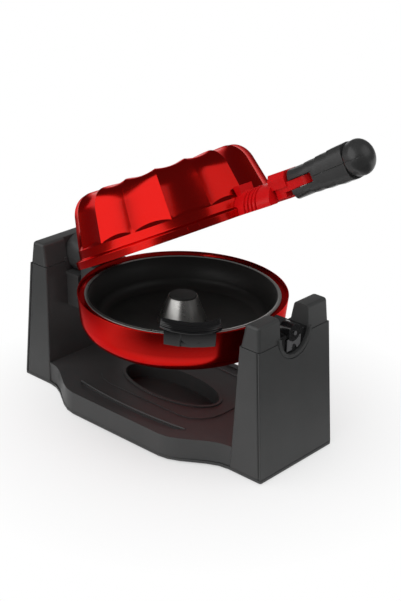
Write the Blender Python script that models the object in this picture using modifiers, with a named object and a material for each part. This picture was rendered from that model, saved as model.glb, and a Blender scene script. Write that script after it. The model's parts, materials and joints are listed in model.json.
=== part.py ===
"""Electric cake maker: a stand with two towers carries a baking head that turns about a
level axis. A fluted lid is hinged to the head at the left, held shut by a front latch,
and lifted by a folding hand grip at the right. Metres, +Z up, +X towards the grip."""

import bpy
import bmesh
from math import cos, pi, radians, sin, sqrt
from mathutils import Matrix, Vector

# Driving dimensions of the stand
TOWER_THICKNESS = 0.0416
TOWER_DEPTH = 0.118
BELLY_DEPTH = 0.180
BELLY_CURVE_LENGTH = 0.072
TRAY_HEIGHT = 0.0285
AXIS_HEIGHT = 0.149
CAP_TOP_RISE = 0.0217
CAP_SEAM_DROP = 0.0044

# Driving dimensions of the head and lid
RIM_RADIUS = 0.114
HINGE_ROOM = 0.0390
JOURNAL_ROOM = 0.0098
BOWL_DEPTH = 0.050
LID_SHIFT = 0.002
DOME_HEIGHT = 0.0738
LID_OPEN_ANGLE = 28.0
PIVOT_OFFSET = 0.0116
HINGE_RISE = 0.016

# Driving dimensions of the grip
PIN_REACH = 0.0305
PIN_RISE = 0.0136
GRIP_LENGTH = 0.0815
GRIP_TILT_ANGLE = 3.0
GRIP_HALF_WIDTH = 0.0148

# Clearances and allowances that all pieces share
CLEARANCE = 0.0003
RUNNING_CLEARANCE = 0.0006
OVERRUN = 0.004
MERGE = 0.00001

# Walls, leans and roundings of the stand
WALL = 0.003
OUTER_LEAN = 0.0109
INNER_LEAN = 0.0043
SIDE_LEAN = 0.0023
CORNER_ROUND = 0.0020
PLATE_LOW = 0.0018
PLATE_HIGH = 0.0050
COVER_THICKNESS = 0.0025
COVER_ROUND = 0.0009
BELLY_TUCK = 0.0015
BELLY_ROOM = 0.0014

# Tray details
WELL_HALF_LENGTH = 0.066
WELL_HALF_DEPTH = 0.030
WELL_DEPTH = 0.016
RING_WIDTH = 0.0035
RING_RISE = 0.0012
PLATEAU_MARGIN_LENGTH = 0.020
PLATEAU_MARGIN_DEPTH = 0.016
PLATEAU_RISE = 0.0008
PLATEAU_ROUND = 0.034
CHANNEL_OVERLAP_LENGTH = 0.014
CHANNEL_WIDTH = 0.011
CHANNEL_DEPTH = 0.0016
CHANNEL_INSET = 0.0245
CHANNEL_BOW = 0.006
BEAD_RADIUS = 0.0011

# Tower caps and the journal cradles in them
CAP_INSET = 0.0006
CAP_OUTER_LEAN = 0.0026
CAP_INNER_LEAN = 0.0050
CAP_SIDE_LEAN = 0.0010
CAP_ROUND = 0.0035
NOTCH_RADIUS = 0.0228
COLLAR_WALL = 0.0042
COLLAR_INNER_PROUD = 0.0005
COLLAR_OUTER_PROUD = 0.0010
POCKET_WALL = 0.0045

# Journals
JOURNAL_RADIUS = 0.0222
LEFT_JOURNAL_INSET = 0.0300
LEFT_JOURNAL_PROUD_LENGTH = 0.0191
RIGHT_JOURNAL_INSET = 0.0140
JOURNAL_ROOT_DEPTH = 0.0186
BOSS_RADIUS = 0.0095
BOSS_LENGTH = 0.0140
BOSS_REACH = 0.0020
CABLE_BORE_RADIUS = 0.005
KEEPER_THICKNESS = 0.0014
KEEPER_HALF_WIDTH = 0.0110
KEEPER_TOP_DROP = 0.0050
KEEPER_DROP = 0.0185
KEEPER_SLOT_HALF_WIDTH = 0.0030
KEEPER_SLOT_TOP_DROP = 0.0125
CAP_SCREW_RADIUS = 0.0024
CAP_SCREW_HEIGHT = 0.0010
CAP_SCREW_SHANK_RADIUS = 0.0012
CAP_SCREW_LENGTH = 0.0080

# Left bearing block
BLOCK_HALF_DEPTH = 0.028
BLOCK_LOW_DROP = 0.057
BLOCK_HIGH_DROP = 0.016
BLOCK_THICKNESS = 0.0176
BLOCK_LIP = 0.0018
BLOCK_LIP_HEIGHT = 0.0032

# Bowl
SHELL_WALL = 0.0020
BOWL_DRAFT = 0.0025
BOWL_WALL_HEIGHT = 0.024
BOWL_CORNER_WIDTH = 0.028
LEDGE_DEPTH = 0.0042
LEDGE_INSET = 0.0104
LEDGE_THICKNESS = 0.0020
LIP_WIDTH = 0.0016
LIP_SLOPE = 0.0012

# Baking pan and mould
PAN_GAP = 0.0006
PAN_LIP_WIDTH = 0.0034
PAN_WALL = 0.0015
PAN_HEATER_ROOM = 0.0135
PAN_DRAFT = 0.008
PAN_CORNER = 0.014
CONE_FOOT_RADIUS = 0.028
CONE_TIP_RADIUS = 0.016
CONE_TIP_GAP = 0.0050
MOULD_INSET = 0.0165
MOULD_HEATER_ROOM = 0.0198
MOULD_DRAFT = 0.006
MOULD_CORNER_WIDTH = 0.0275
MOULD_CORNER_HEIGHT = 0.022
MOULD_FLANGE_HEIGHT = 0.0032
MOULD_FLUTE_DEPTH = 0.0030

# Lid shell
SKIRT_LOW = 0.0005
SKIRT_HIGH = 0.0088
SKIRT_ROUND = 0.0012
FLANGE_WIDTH = 0.0040
BAND_RISE = 0.0012
BAND_HEIGHT = 0.0190
BAND_DRAFT = 0.0014
DOME_DRAFT = 0.0079
SHOULDER_HEIGHT = 0.0262
SHOULDER_WIDTH = 0.0215
DOME_CROWN_DROP = 0.0022
FLUTE_COUNT = 16
FLUTE_DEPTH = 0.0040
FLUTE_CROWN_DROP = 0.0018
FLUTE_FADE_RADIUS = 0.030
FLUTE_FOOT_HEIGHT = 0.0060

# Heating
HEATER_RADIUS = 0.0030
HEATER_RING_INSET = 0.012
HEATER_GAP_ANGLE = 30.0
TERMINAL_LENGTH = 0.012
REFLECTOR_THICKNESS = 0.0008
REFLECTOR_INSET = 0.002
REFLECTOR_POST_RADIUS = 0.0070
THERMOSTAT_RADIUS = 0.0095
THERMOSTAT_HEIGHT = 0.0090
THERMOSTAT_SEAT_RISE = 0.0073
LID_REFLECTOR_INSET = 0.005

# Lid hinge
HINGE_PIN_RADIUS = 0.0024
HINGE_PIN_HEAD_RADIUS = 0.0038
HINGE_PIN_HEAD_LENGTH = 0.0014
KNUCKLE_RADIUS = 0.0060
KNUCKLE_HALF_LENGTH = 0.0190
KNUCKLE_ARM_LOW = 0.0009
KNUCKLE_ARM_HIGH = 0.0076
KNUCKLE_ARM_REACH = 0.017
KNUCKLE_ARM_LEAN = 0.0014
EAR_WIDTH = 0.0060
EAR_RADIUS = 0.0068
BRACKET_DROP = 0.0300
BRACKET_TOP_DROP = 0.0006

# Latch
LATCH_ANGLE = -43.5
LATCH_HALF_SPAN_ANGLE = 14.5
LATCH_PIVOT_REACH = 0.0070
LATCH_PIVOT_DROP = 0.0030
HOOK_REACH = 0.0035
HOOK_LOW = 0.0130
HOOK_THICKNESS = 0.0025
LATCH_INNER_REACH = 0.0052
LATCH_LIP_REACH = 0.0165
LATCH_LIP_HIGH = 0.0098
LATCH_LIP_LOW = 0.0072
LATCH_FACE_REACH = 0.0128
LATCH_FOOT_REACH = 0.0085
LATCH_END_SLIMNESS = 0.5
LATCH_BODY_SHARE = 0.86
LATCH_STEPS = 10
LATCH_FOOT_DROP = 0.0088
LATCH_PIN_RADIUS = 0.0014
LUG_INNER = 0.0115
LUG_WIDTH = 0.0034
LUG_REACH = 0.0028
LUG_GAP = 0.0005
LUG_ROOM_RISE = 0.0030
SADDLE_REACH = 0.0028
SADDLE_LOW_DROP = 0.0085
CATCH_ANGLE = -36.0
CATCH_HALF_WIDTH = 0.0060
CATCH_REACH = 0.0006
CATCH_LOW = 0.0030
CATCH_HIGH = 0.0072

# Neck between lid and grip
NECK_ROOT_DEPTH = 0.0336
NECK_JOURNAL_INSET = 0.0070
NECK_BLOCK_INSET = 0.0092
NECK_BLOCK_HALF_WIDTH = 0.0135
NECK_BLOCK_LOW = 0.0130
NECK_BLOCK_HIGH = 0.0285
NECK_CHAMFER_WIDTH = 0.0040
NECK_CHAMFER_HEIGHT = 0.0060
NECK_FOOT_OFFSET = 0.0047
NECK_FOOT_LENGTH = 0.0125
NECK_FOOT_LOW = 0.0030
NECK_FOOT_HALF_WIDTH = 0.0115
NECK_RIB_OFFSET = 0.0084
NECK_RIB_COUNT = 4
NECK_RIB_PITCH = 0.0052
NECK_RIB_GROOVE = 0.0024
NECK_RIB_DEPTH = 0.0030
NECK_RIB_FLANK_WIDTH = 0.0005
BOSS_RECESS_LENGTH = 0.0255
BOSS_RECESS_REACH = 0.0075
BOSS_RECESS_GAP = 0.0010
ROOT_LUG_REACH = 0.0014
LUG_HALF_WIDTH = 0.0100
LUG_HIGH = 0.0290
TONGUE_HALF_THICKNESS = 0.0044
TONGUE_HALF_WIDTH = 0.0120

# Grip, in its own frame with the fold pin at the origin
NOSE_LENGTH = 0.0190
SLOT_HALF_HEIGHT = 0.0050
SLOT_REACH = 0.0170
STEP_OFFSET = 0.0080
STEP_PITCH = 0.0155
STEP_COUNT = 3
STEP_RUN = 0.0010
STEP_FALL = 0.0003
STEP_RISE = 0.0010
GRIP_HALF_HEIGHT = 0.0150
GRIP_SIDE_POWER = 0.6
GRIP_TOP_POWER = 0.7
GRIP_ARC_STEPS = 8
BALL_LENGTH = 0.0225
BALL_HALF_HEIGHT = 0.0176
BALL_HALF_WIDTH = 0.0162
BALL_WIDEST_SHARE = 0.45
BALL_FULLNESS = 0.305
BALL_TIP_SHARE = 0.12
BALL_STEPS = 8
BALL_SIDES = 20
FOLD_PIN_RADIUS = 0.0028
FOLD_PIN_HALF_LENGTH = 0.0118
GRIP_SCREW_INSET = 0.0250
GRIP_SCREW_PITCH = 0.0150
GRIP_SCREW_RADIUS = 0.0022
GRIP_SCREW_HEAD_HIGH = 0.0100
GRIP_SCREW_HEIGHT = 0.0020

# Feet, screws and cord gland
FOOT_RADIUS = 0.0090
FOOT_INSET = 0.030
FOOT_SIDE_INSET = 0.019
SCREW_INSET = 0.070
SCREW_SIDE_INSET = 0.004
SCREW_HEAD_RADIUS = 0.0032
SCREW_HEAD_HEIGHT = 0.0018
SCREW_SHANK_RADIUS = 0.0015
SCREW_LENGTH = 0.0120
SCREW_BOSS_RADIUS = 0.0045
GLAND_INSET = 0.024
GLAND_HEIGHT = 0.0180
GLAND_RADIUS = 0.0060
GLAND_FLANGE_RADIUS = 0.0085
GLAND_FLANGE_THICKNESS = 0.0018
GLAND_BORE_RADIUS = 0.0034
GLAND_BORE_DEPTH = 0.0030
GLAND_LENGTH = 0.0080

# Facets
TURN_STEPS = 48
PAN_STEPS = 40
SMALL_STEPS = 16
SCREW_STEPS = 12
SHAFT_STEPS = 32
FLUTE_STEPS = 4
MOULD_FLUTE_STEPS = 2
ARC_STEPS = 4
BELLY_STEPS = 6

# Middle of the whole outline, measured from the middle of the stand
ORIGIN_X = 0.03362

# Places in the stand that follow from the sizes above
TOWER_SPAN = 2 * RIM_RADIUS + HINGE_ROOM + JOURNAL_ROOM
STAND_LENGTH = TOWER_SPAN + 2 * TOWER_THICKNESS
CAP_TOP_HEIGHT = AXIS_HEIGHT + CAP_TOP_RISE
CAP_SEAM_HEIGHT = AXIS_HEIGHT - CAP_SEAM_DROP
BELLY_FLAT_LENGTH = TOWER_SPAN - 2 * (BELLY_CURVE_LENGTH + BELLY_ROOM)
PLATEAU_LENGTH = 2 * (WELL_HALF_LENGTH + PLATEAU_MARGIN_LENGTH)
PLATEAU_DEPTH = 2 * (WELL_HALF_DEPTH + PLATEAU_MARGIN_DEPTH)
CHANNEL_LENGTH = BELLY_FLAT_LENGTH + 2 * CHANNEL_OVERLAP_LENGTH
CHANNEL_Y = BELLY_DEPTH / 2 - CHANNEL_INSET
BLOCK_LOW = AXIS_HEIGHT - BLOCK_LOW_DROP
BLOCK_HIGH = AXIS_HEIGHT - BLOCK_HIGH_DROP
BLOCK_FACE = TOWER_SPAN / 2 - BLOCK_THICKNESS
FOOT_X = STAND_LENGTH / 2 - FOOT_INSET
FOOT_Y = TOWER_DEPTH / 2 - FOOT_SIDE_INSET
SCREW_X = STAND_LENGTH / 2 - SCREW_INSET
SCREW_Y = TOWER_DEPTH / 2 - SCREW_SIDE_INSET
GLAND_X = STAND_LENGTH / 2 - GLAND_INSET

# Places in the head that follow
HEAD_X = (HINGE_ROOM - JOURNAL_ROOM) / 2
RIM_X = HEAD_X + RIM_RADIUS
LEFT_JOURNAL_END = STAND_LENGTH / 2 - LEFT_JOURNAL_INSET
LEFT_JOURNAL_START = TOWER_SPAN / 2 - LEFT_JOURNAL_PROUD_LENGTH
RIGHT_JOURNAL_START = RIM_X - JOURNAL_ROOT_DEPTH
RIGHT_JOURNAL_END = STAND_LENGTH / 2 - RIGHT_JOURNAL_INSET
BOSS_END = RIGHT_JOURNAL_END + BOSS_REACH
BOSS_START = BOSS_END - BOSS_LENGTH
BOWL_FLOOR_RADIUS = RIM_RADIUS - BOWL_CORNER_WIDTH
LEDGE_RADIUS = RIM_RADIUS - LEDGE_INSET
PAN_RADIUS = LEDGE_RADIUS - PAN_GAP
PAN_DEPTH = BOWL_DEPTH - PAN_HEATER_ROOM
REFLECTOR_RADIUS = BOWL_FLOOR_RADIUS - REFLECTOR_INSET
THERMOSTAT_SEAT_DROP = PAN_DEPTH - THERMOSTAT_SEAT_RISE
LATCH_PIVOT_RADIUS = RIM_RADIUS + LATCH_PIVOT_REACH
HOOK_RADIUS = RIM_RADIUS + HOOK_REACH
LATCH_INNER_RADIUS = RIM_RADIUS + LATCH_INNER_REACH
LATCH_LIP_RADIUS = RIM_RADIUS + LATCH_LIP_REACH
LATCH_FACE_RADIUS = RIM_RADIUS + LATCH_FACE_REACH
LATCH_FOOT_RADIUS = RIM_RADIUS + LATCH_FOOT_REACH
SADDLE_RADIUS = RIM_RADIUS + SADDLE_REACH

# Places in the lid and neck that follow
DOME_RADIUS = RIM_RADIUS - SKIRT_ROUND - FLANGE_WIDTH
DOME_WALL_HEIGHT = DOME_HEIGHT - DOME_CROWN_DROP - SHOULDER_HEIGHT
DOME_CROWN_RADIUS = DOME_RADIUS - DOME_DRAFT - SHOULDER_WIDTH
MOULD_RADIUS = RIM_RADIUS - MOULD_INSET
MOULD_DEPTH = DOME_HEIGHT - MOULD_HEATER_ROOM
MOULD_CROWN_RADIUS = MOULD_RADIUS - MOULD_DRAFT - MOULD_CORNER_WIDTH
HEATER_RING_RADIUS = MOULD_CROWN_RADIUS - HEATER_RING_INSET
LID_REFLECTOR_RADIUS = DOME_CROWN_RADIUS - LID_REFLECTOR_INSET
NECK_START = RIM_X - NECK_ROOT_DEPTH
NECK_JOURNAL_END = STAND_LENGTH / 2 - NECK_JOURNAL_INSET
NECK_BLOCK_START = STAND_LENGTH / 2 - NECK_BLOCK_INSET
NECK_FOOT_START = NECK_BLOCK_START + NECK_FOOT_OFFSET
NECK_FOOT_END = NECK_FOOT_START + NECK_FOOT_LENGTH
NECK_RIB_START = RIM_X + NECK_RIB_OFFSET
BOSS_RECESS_END = BOSS_END + BOSS_RECESS_REACH
BOSS_RECESS_START = BOSS_RECESS_END - BOSS_RECESS_LENGTH
LUG_END = RIM_X + ROOT_LUG_REACH
GRIP_SCREW_X = GRIP_LENGTH - BALL_LENGTH - GRIP_SCREW_INSET

# Axes of the joints
LID_X = HEAD_X + LID_SHIFT
HINGE_X = HEAD_X - RIM_RADIUS - PIVOT_OFFSET
PIN_X = STAND_LENGTH / 2 + PIN_REACH
BASE_LOW = PLATE_HIGH + CLEARANCE
HINGE_Z = AXIS_HEIGHT + HINGE_RISE
HINGE = Vector((HINGE_X, 0, HINGE_Z))
FOLD_PIN = Vector((PIN_X, 0, AXIS_HEIGHT + PIN_RISE))
LATCH_RADIAL = Vector((cos(radians(LATCH_ANGLE)), sin(radians(LATCH_ANGLE)), 0))
LATCH_TANGENT = Vector((-LATCH_RADIAL.y, LATCH_RADIAL.x, 0))


def clear_scene():
    for old in list(bpy.data.objects):
        bpy.data.objects.remove(old, do_unlink=True)


def new_collection(name):
    group = bpy.data.collections.new(name)
    bpy.context.scene.collection.children.link(group)
    return group


clear_scene()
PARTS = new_collection("electric_cake_maker")
CUTTERS = new_collection("cutters")


def material(name, colour, roughness, metallic=0.0):
    """Make a Principled material with the part's own colour and finish."""
    mat = bpy.data.materials.new(name)
    mat.use_nodes = True
    shader = mat.node_tree.nodes["Principled BSDF"]
    shader.inputs["Base Color"].default_value = (*colour, 1)
    shader.inputs["Roughness"].default_value = roughness
    shader.inputs["Metallic"].default_value = metallic
    return mat


DARK_PLASTIC = material("dark_grey_plastic", (0.055, 0.056, 0.057), 0.45)
BLACK_PLASTIC = material("black_plastic", (0.008, 0.008, 0.009), 0.22)
RED_PAINT = material("red_metallic_paint", (0.62, 0.006, 0.008), 0.20, 0.6)
PAN_METAL = material("bare_pan_aluminium", (0.62, 0.60, 0.57), 0.30, 1.0)
COATED_METAL = material("non_stick_coating", (0.030, 0.029, 0.028), 0.42, 0.3)
STEEL = material("steel", (0.56, 0.56, 0.57), 0.30, 1.0)
REFLECTOR_METAL = material("reflector_aluminium", (0.78, 0.78, 0.79), 0.22, 1.0)
FOOT_RUBBER = material("foot_rubber", (0.020, 0.020, 0.020), 0.85)


def add_object(name, mesh):
    obj = bpy.data.objects.new(name, mesh)
    CUTTERS.objects.link(obj)
    obj.hide_render = True
    obj.display_type = "WIRE"
    return obj


def finish_part(obj, mat, smooth=True):
    """Move a modelled object from the cutters to the parts and give it its material."""
    CUTTERS.objects.unlink(obj)
    PARTS.objects.link(obj)
    obj.hide_render = False
    obj.display_type = "TEXTURED"
    obj.data.materials.clear()
    obj.data.materials.append(mat)
    if smooth and obj.type == "MESH":
        obj.data.shade_smooth()
        obj.data.set_sharp_from_angle(angle=radians(30))
    return obj


def from_bmesh(name, bm):
    bmesh.ops.recalc_face_normals(bm, faces=bm.faces)
    if bm.calc_volume(signed=True) < 0:
        bmesh.ops.reverse_faces(bm, faces=bm.faces)
    mesh = bpy.data.meshes.new(name)
    bm.to_mesh(mesh)
    bm.free()
    return add_object(name, mesh)


def box(name, low, high):
    """Block between two opposite corners."""
    low, high = Vector(low), Vector(high)
    bm = bmesh.new()
    bmesh.ops.create_cube(bm, size=1)
    size = high - low
    bmesh.ops.transform(bm, verts=bm.verts, matrix=Matrix.Diagonal((*size, 1)))
    bmesh.ops.translate(bm, verts=bm.verts, vec=(low + high) / 2)
    return from_bmesh(name, bm)


def cylinder(name, radius, start, end, steps=SHAFT_STEPS):
    """Round bar between two points."""
    start, end = Vector(start), Vector(end)
    bm = bmesh.new()
    run = end - start
    bmesh.ops.create_cone(bm, cap_ends=True, segments=steps, radius1=radius,
                          radius2=radius, depth=run.length)
    turn = run.to_track_quat("Z", "Y").to_matrix().to_4x4()
    bmesh.ops.transform(bm, verts=bm.verts, matrix=Matrix.Translation((start + end) / 2) @ turn)
    return from_bmesh(name, bm)


def tapered_block(name, side, low, high, low_rect, high_rect, rounding=0, round_top=False):
    """Block whose plan changes from low_rect to high_rect, each (near x, far x, half depth)."""
    bm = bmesh.new()
    bmesh.ops.create_cube(bm, size=2)
    for vert in bm.verts:
        rect = high_rect if vert.co.z > 0 else low_rect
        reach = rect[1] if vert.co.x > 0 else rect[0]
        vert.co = (side * reach, rect[2] * vert.co.y, high if vert.co.z > 0 else low)
    if rounding:
        bmesh.ops.recalc_face_normals(bm, faces=bm.faces)
        middle = (low + high) / 2
        upright = [e for e in bm.edges if abs(e.verts[0].co.z - e.verts[1].co.z) > MERGE]
        top = [e for e in bm.edges if min(v.co.z for v in e.verts) > middle]
        bmesh.ops.bevel(bm, geom=upright + top if round_top else upright, offset=rounding,
                        segments=3, profile=0.5, affect="EDGES")
    return from_bmesh(name, bm)


def as_mesh(obj):
    """Turn a curve or a modified object into a plain mesh object of the same name."""
    bpy.context.view_layer.update()
    seen = obj.evaluated_get(bpy.context.evaluated_depsgraph_get())
    mesh = bpy.data.meshes.new_from_object(seen)
    bm = bmesh.new()
    bm.from_mesh(mesh)
    bmesh.ops.remove_doubles(bm, verts=bm.verts, dist=MERGE)
    name, place = obj.name, obj.matrix_world.copy()
    bpy.data.objects.remove(obj, do_unlink=True)
    solid = from_bmesh(name, bm)
    solid.matrix_world = place
    return solid


def prism(name, outline, axis, low, high):
    """Flat outline drawn out along X, Y or Z from low to high.
    The outline is (y, z) for X, (x, z) for Y and (x, y) for Z."""
    turn = {"X": Matrix(((0, 0, 1, 0), (1, 0, 0, 0), (0, 1, 0, 0), (0, 0, 0, 1))),
            "Y": Matrix(((1, 0, 0, 0), (0, 0, 1, 0), (0, 1, 0, 0), (0, 0, 0, 1))),
            "Z": Matrix.Identity(4)}[axis]
    bm = bmesh.new()
    face = bm.faces.new([bm.verts.new((u, v, low)) for u, v in outline])
    drawn = bmesh.ops.extrude_face_region(bm, geom=[face])["geom"]
    moved = [item for item in drawn if isinstance(item, bmesh.types.BMVert)]
    bmesh.ops.translate(bm, verts=moved, vec=(0, 0, high - low))
    bmesh.ops.transform(bm, verts=bm.verts, matrix=turn)
    return from_bmesh(name, bm)


def turned(name, profile, centre, steps=TURN_STEPS, closed=False, wall=0):
    """Profile of (radius, height) points turned about an upright axis through centre.
    It runs down its outer side; a wall thickens it inwards."""
    bm = bmesh.new()
    verts = [bm.verts.new((radius, 0, height)) for radius, height in profile]
    for first, second in zip(verts, verts[1:]):
        bm.edges.new((first, second))
    if closed:
        bm.edges.new((verts[-1], verts[0]))
    mesh = bpy.data.meshes.new(name)
    bm.to_mesh(mesh)
    bm.free()
    obj = add_object(name, mesh)
    obj.location = centre
    screw = obj.modifiers.new("turn", "SCREW")
    screw.axis = "Z"
    screw.angle = 2 * pi
    screw.steps = screw.render_steps = steps
    screw.use_merge_vertices = True
    screw.merge_threshold = MERGE
    screw.use_smooth_shade = True
    if wall:
        thicken(obj, wall)
    return obj


def thicken(obj, wall):
    shell = obj.modifiers.new("wall", "SOLIDIFY")
    shell.thickness = wall
    shell.offset = -1
    return shell


def loft(name, rings):
    """Closed skin through rings of equally many points, with both ends filled."""
    bm = bmesh.new()
    loops = [[bm.verts.new(point) for point in ring] for ring in rings]
    for near, far in zip(loops, loops[1:]):
        for i in range(len(near)):
            j = (i + 1) % len(near)
            bm.faces.new((near[i], near[j], far[j], far[i]))
    bm.faces.new(loops[0])
    bm.faces.new(loops[-1])
    return from_bmesh(name, bm)


def tube(name, points, radius, sides=1):
    """Round rod along a chain of points."""
    curve = bpy.data.curves.new(name, "CURVE")
    curve.dimensions = "3D"
    curve.bevel_depth = radius
    curve.bevel_resolution = sides
    curve.use_fill_caps = True
    spline = curve.splines.new("POLY")
    spline.points.add(len(points) - 1)
    for point, place in zip(spline.points, points):
        point.co = (*place, 1)
    return add_object(name, curve)


def combine(target, tool, operation):
    step = target.modifiers.new(tool.name, "BOOLEAN")
    step.operation = operation
    step.object = tool


def cut(target, *tools):
    for tool in tools:
        combine(target, tool, "DIFFERENCE")


def join(target, *pieces):
    for piece in pieces:
        combine(target, piece, "UNION")


def arc(centre, radius_u, radius_v, start, end, steps=ARC_STEPS):
    """Points on an elliptical arc between two angles in degrees."""
    points = []
    for i in range(steps + 1):
        angle = radians(start + (end - start) * i / steps)
        points.append((centre[0] + radius_u * cos(angle), centre[1] + radius_v * sin(angle)))
    return points


def empty(name, place, turn=(0, 0, 0), parent=None, parent_place=None):
    """Guide on a joint's axis that carries the pieces which move with it."""
    guide = bpy.data.objects.new(name, None)
    PARTS.objects.link(guide)
    guide.location = place
    guide.rotation_euler = turn
    if parent:
        guide.parent = parent
        guide.matrix_parent_inverse = Matrix.Translation(-parent_place)
    return guide


def carry(guide, place, *objects):
    """Parent objects, modelled with the lid shut, to the guide that stood at place."""
    for obj in objects:
        obj.parent = guide
        obj.matrix_parent_inverse = Matrix.Translation(-place)


LID_GUIDE = empty("lid_axis", HINGE, (0, -radians(LID_OPEN_ANGLE), 0))
GRIP_GUIDE = empty("grip_axis", FOLD_PIN, (0, -radians(GRIP_TILT_ANGLE), 0), LID_GUIDE, HINGE)


def tower_outer(height):
    return STAND_LENGTH / 2 - OUTER_LEAN * height / CAP_SEAM_HEIGHT


def tower_inner(height):
    rise = (height - TRAY_HEIGHT) / (CAP_SEAM_HEIGHT - TRAY_HEIGHT)
    return TOWER_SPAN / 2 + INNER_LEAN * rise


def tower_side(height):
    return TOWER_DEPTH / 2 - SIDE_LEAN * height / CAP_SEAM_HEIGHT


def belly_outline(length, tuck):
    """Plan of the base: a straight front and rear that ease in to the towers."""
    narrow = TOWER_DEPTH / 2 - tuck
    quarter = []
    for i in range(BELLY_STEPS + 1):
        share = i / BELLY_STEPS
        ease = (1 - cos(pi * share)) / 2
        quarter.append((BELLY_FLAT_LENGTH / 2 + BELLY_CURVE_LENGTH * share,
                        BELLY_DEPTH / 2 + (narrow - BELLY_DEPTH / 2) * ease))
    corner = (length / 2 - CORNER_ROUND, narrow - CORNER_ROUND)
    quarter += arc(corner, CORNER_ROUND, CORNER_ROUND, 90, 0, 3)
    rear = [(-x, y) for x, y in reversed(quarter)] + quarter
    return rear + [(x, -y) for x, y in reversed(rear)]


def ellipse(half_length, half_depth, steps=TURN_STEPS):
    return arc((0, 0), half_length, half_depth, 0, 360 - 360 / steps, steps - 1)


def notch_outline(radius, top):
    """U that opens upwards, round about the turning axis."""
    half = [(radius, top)] + arc((0, AXIS_HEIGHT), radius, radius, 0, -180, SHAFT_STEPS // 2)
    return half + [(-radius, top)]


def tower_rect(height, near=0.0, far=0.0, side=0.0):
    """Plan of a tower at a height, drawn in by near, far and side."""
    return (tower_inner(height) + near, tower_outer(height) - far, tower_side(height) - side)


def channel_outline(sign):
    """Crescent that follows the bowed front or rear of the tray."""
    inner = []
    outer = []
    for i in range(BELLY_STEPS * 2 + 1):
        share = i / BELLY_STEPS - 1
        bow = CHANNEL_BOW * (1 - share ** 2)
        width = CHANNEL_WIDTH * sqrt(max(0, 1 - share ** 4))
        inner.append((CHANNEL_LENGTH / 2 * share, sign * (CHANNEL_Y + bow)))
        outer.append((CHANNEL_LENGTH / 2 * share, sign * (CHANNEL_Y + bow + width)))
    return inner + outer[-2:0:-1]


def base_moulding():
    """Bulged tray with two hollow towers, moulded in one piece and open below."""
    far = COVER_THICKNESS + CLEARANCE
    body = prism("base_moulding", belly_outline(STAND_LENGTH - 2 * far - 2 * WALL, BELLY_TUCK),
                 "Z", BASE_LOW, TRAY_HEIGHT)
    top = CAP_SEAM_HEIGHT - CLEARANCE
    for side in (-1, 1):
        tower = tapered_block("tower", side, BASE_LOW, top, tower_rect(BASE_LOW, far=far),
                              tower_rect(top, far=far), CORNER_ROUND)
        join(body, tower)
    plateau_x = PLATEAU_LENGTH / 2 - PLATEAU_ROUND
    plateau_y = PLATEAU_DEPTH / 2 - PLATEAU_ROUND
    plateau = []
    for start, sign_x, sign_y in ((0, 1, 1), (90, -1, 1), (180, -1, -1), (270, 1, -1)):
        centre = (sign_x * plateau_x, sign_y * plateau_y)
        plateau += arc(centre, PLATEAU_ROUND, PLATEAU_ROUND, start, start + 90)
    join(body, prism("plateau", plateau, "Z", TRAY_HEIGHT - WALL / 2, TRAY_HEIGHT + PLATEAU_RISE))
    ring = ellipse(WELL_HALF_LENGTH + RING_WIDTH, WELL_HALF_DEPTH + RING_WIDTH)
    join(body, prism("ring", ring, "Z", TRAY_HEIGHT - WALL / 3,
                     TRAY_HEIGHT + PLATEAU_RISE + RING_RISE))
    for sign in (-1, 1):
        points = [(CHANNEL_LENGTH / 2 * (i / BELLY_STEPS - 1),
                   sign * (CHANNEL_Y - BEAD_RADIUS * 2
                           + CHANNEL_BOW * (1 - (i / BELLY_STEPS - 1) ** 2)),
                   TRAY_HEIGHT) for i in range(BELLY_STEPS * 2 + 1)]
        join(body, as_mesh(tube("bead", points, BEAD_RADIUS)))
    hollow_base(body)
    for sign in (-1, 1):
        cut(body, prism("channel", channel_outline(sign), "Z", TRAY_HEIGHT - CHANNEL_DEPTH,
                        TRAY_HEIGHT + OVERRUN))
    well = ellipse(WELL_HALF_LENGTH, WELL_HALF_DEPTH)
    cut(body, prism("well", well, "Z", TRAY_HEIGHT - WELL_DEPTH, TRAY_HEIGHT + OVERRUN))
    seat = NOTCH_RADIUS + COLLAR_WALL + CLEARANCE
    cut(body, cylinder("right_seat", seat, (tower_inner(TRAY_HEIGHT) - OVERRUN, 0, AXIS_HEIGHT),
                       (STAND_LENGTH / 2, 0, AXIS_HEIGHT)))
    pocket_end = LEFT_JOURNAL_END + RUNNING_CLEARANCE + POCKET_WALL + CLEARANCE
    cut(body, cylinder("left_seat", seat, (-tower_inner(TRAY_HEIGHT) + OVERRUN, 0, AXIS_HEIGHT),
                       (-pocket_end, 0, AXIS_HEIGHT)))
    gland_y = tower_side(GLAND_HEIGHT)
    cut(body, cylinder("gland_hole", GLAND_RADIUS + CLEARANCE,
                       (-GLAND_X, gland_y + OVERRUN, GLAND_HEIGHT),
                       (-GLAND_X, gland_y - WALL - OVERRUN, GLAND_HEIGHT), SMALL_STEPS))
    finish_part(body, DARK_PLASTIC)


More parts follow.
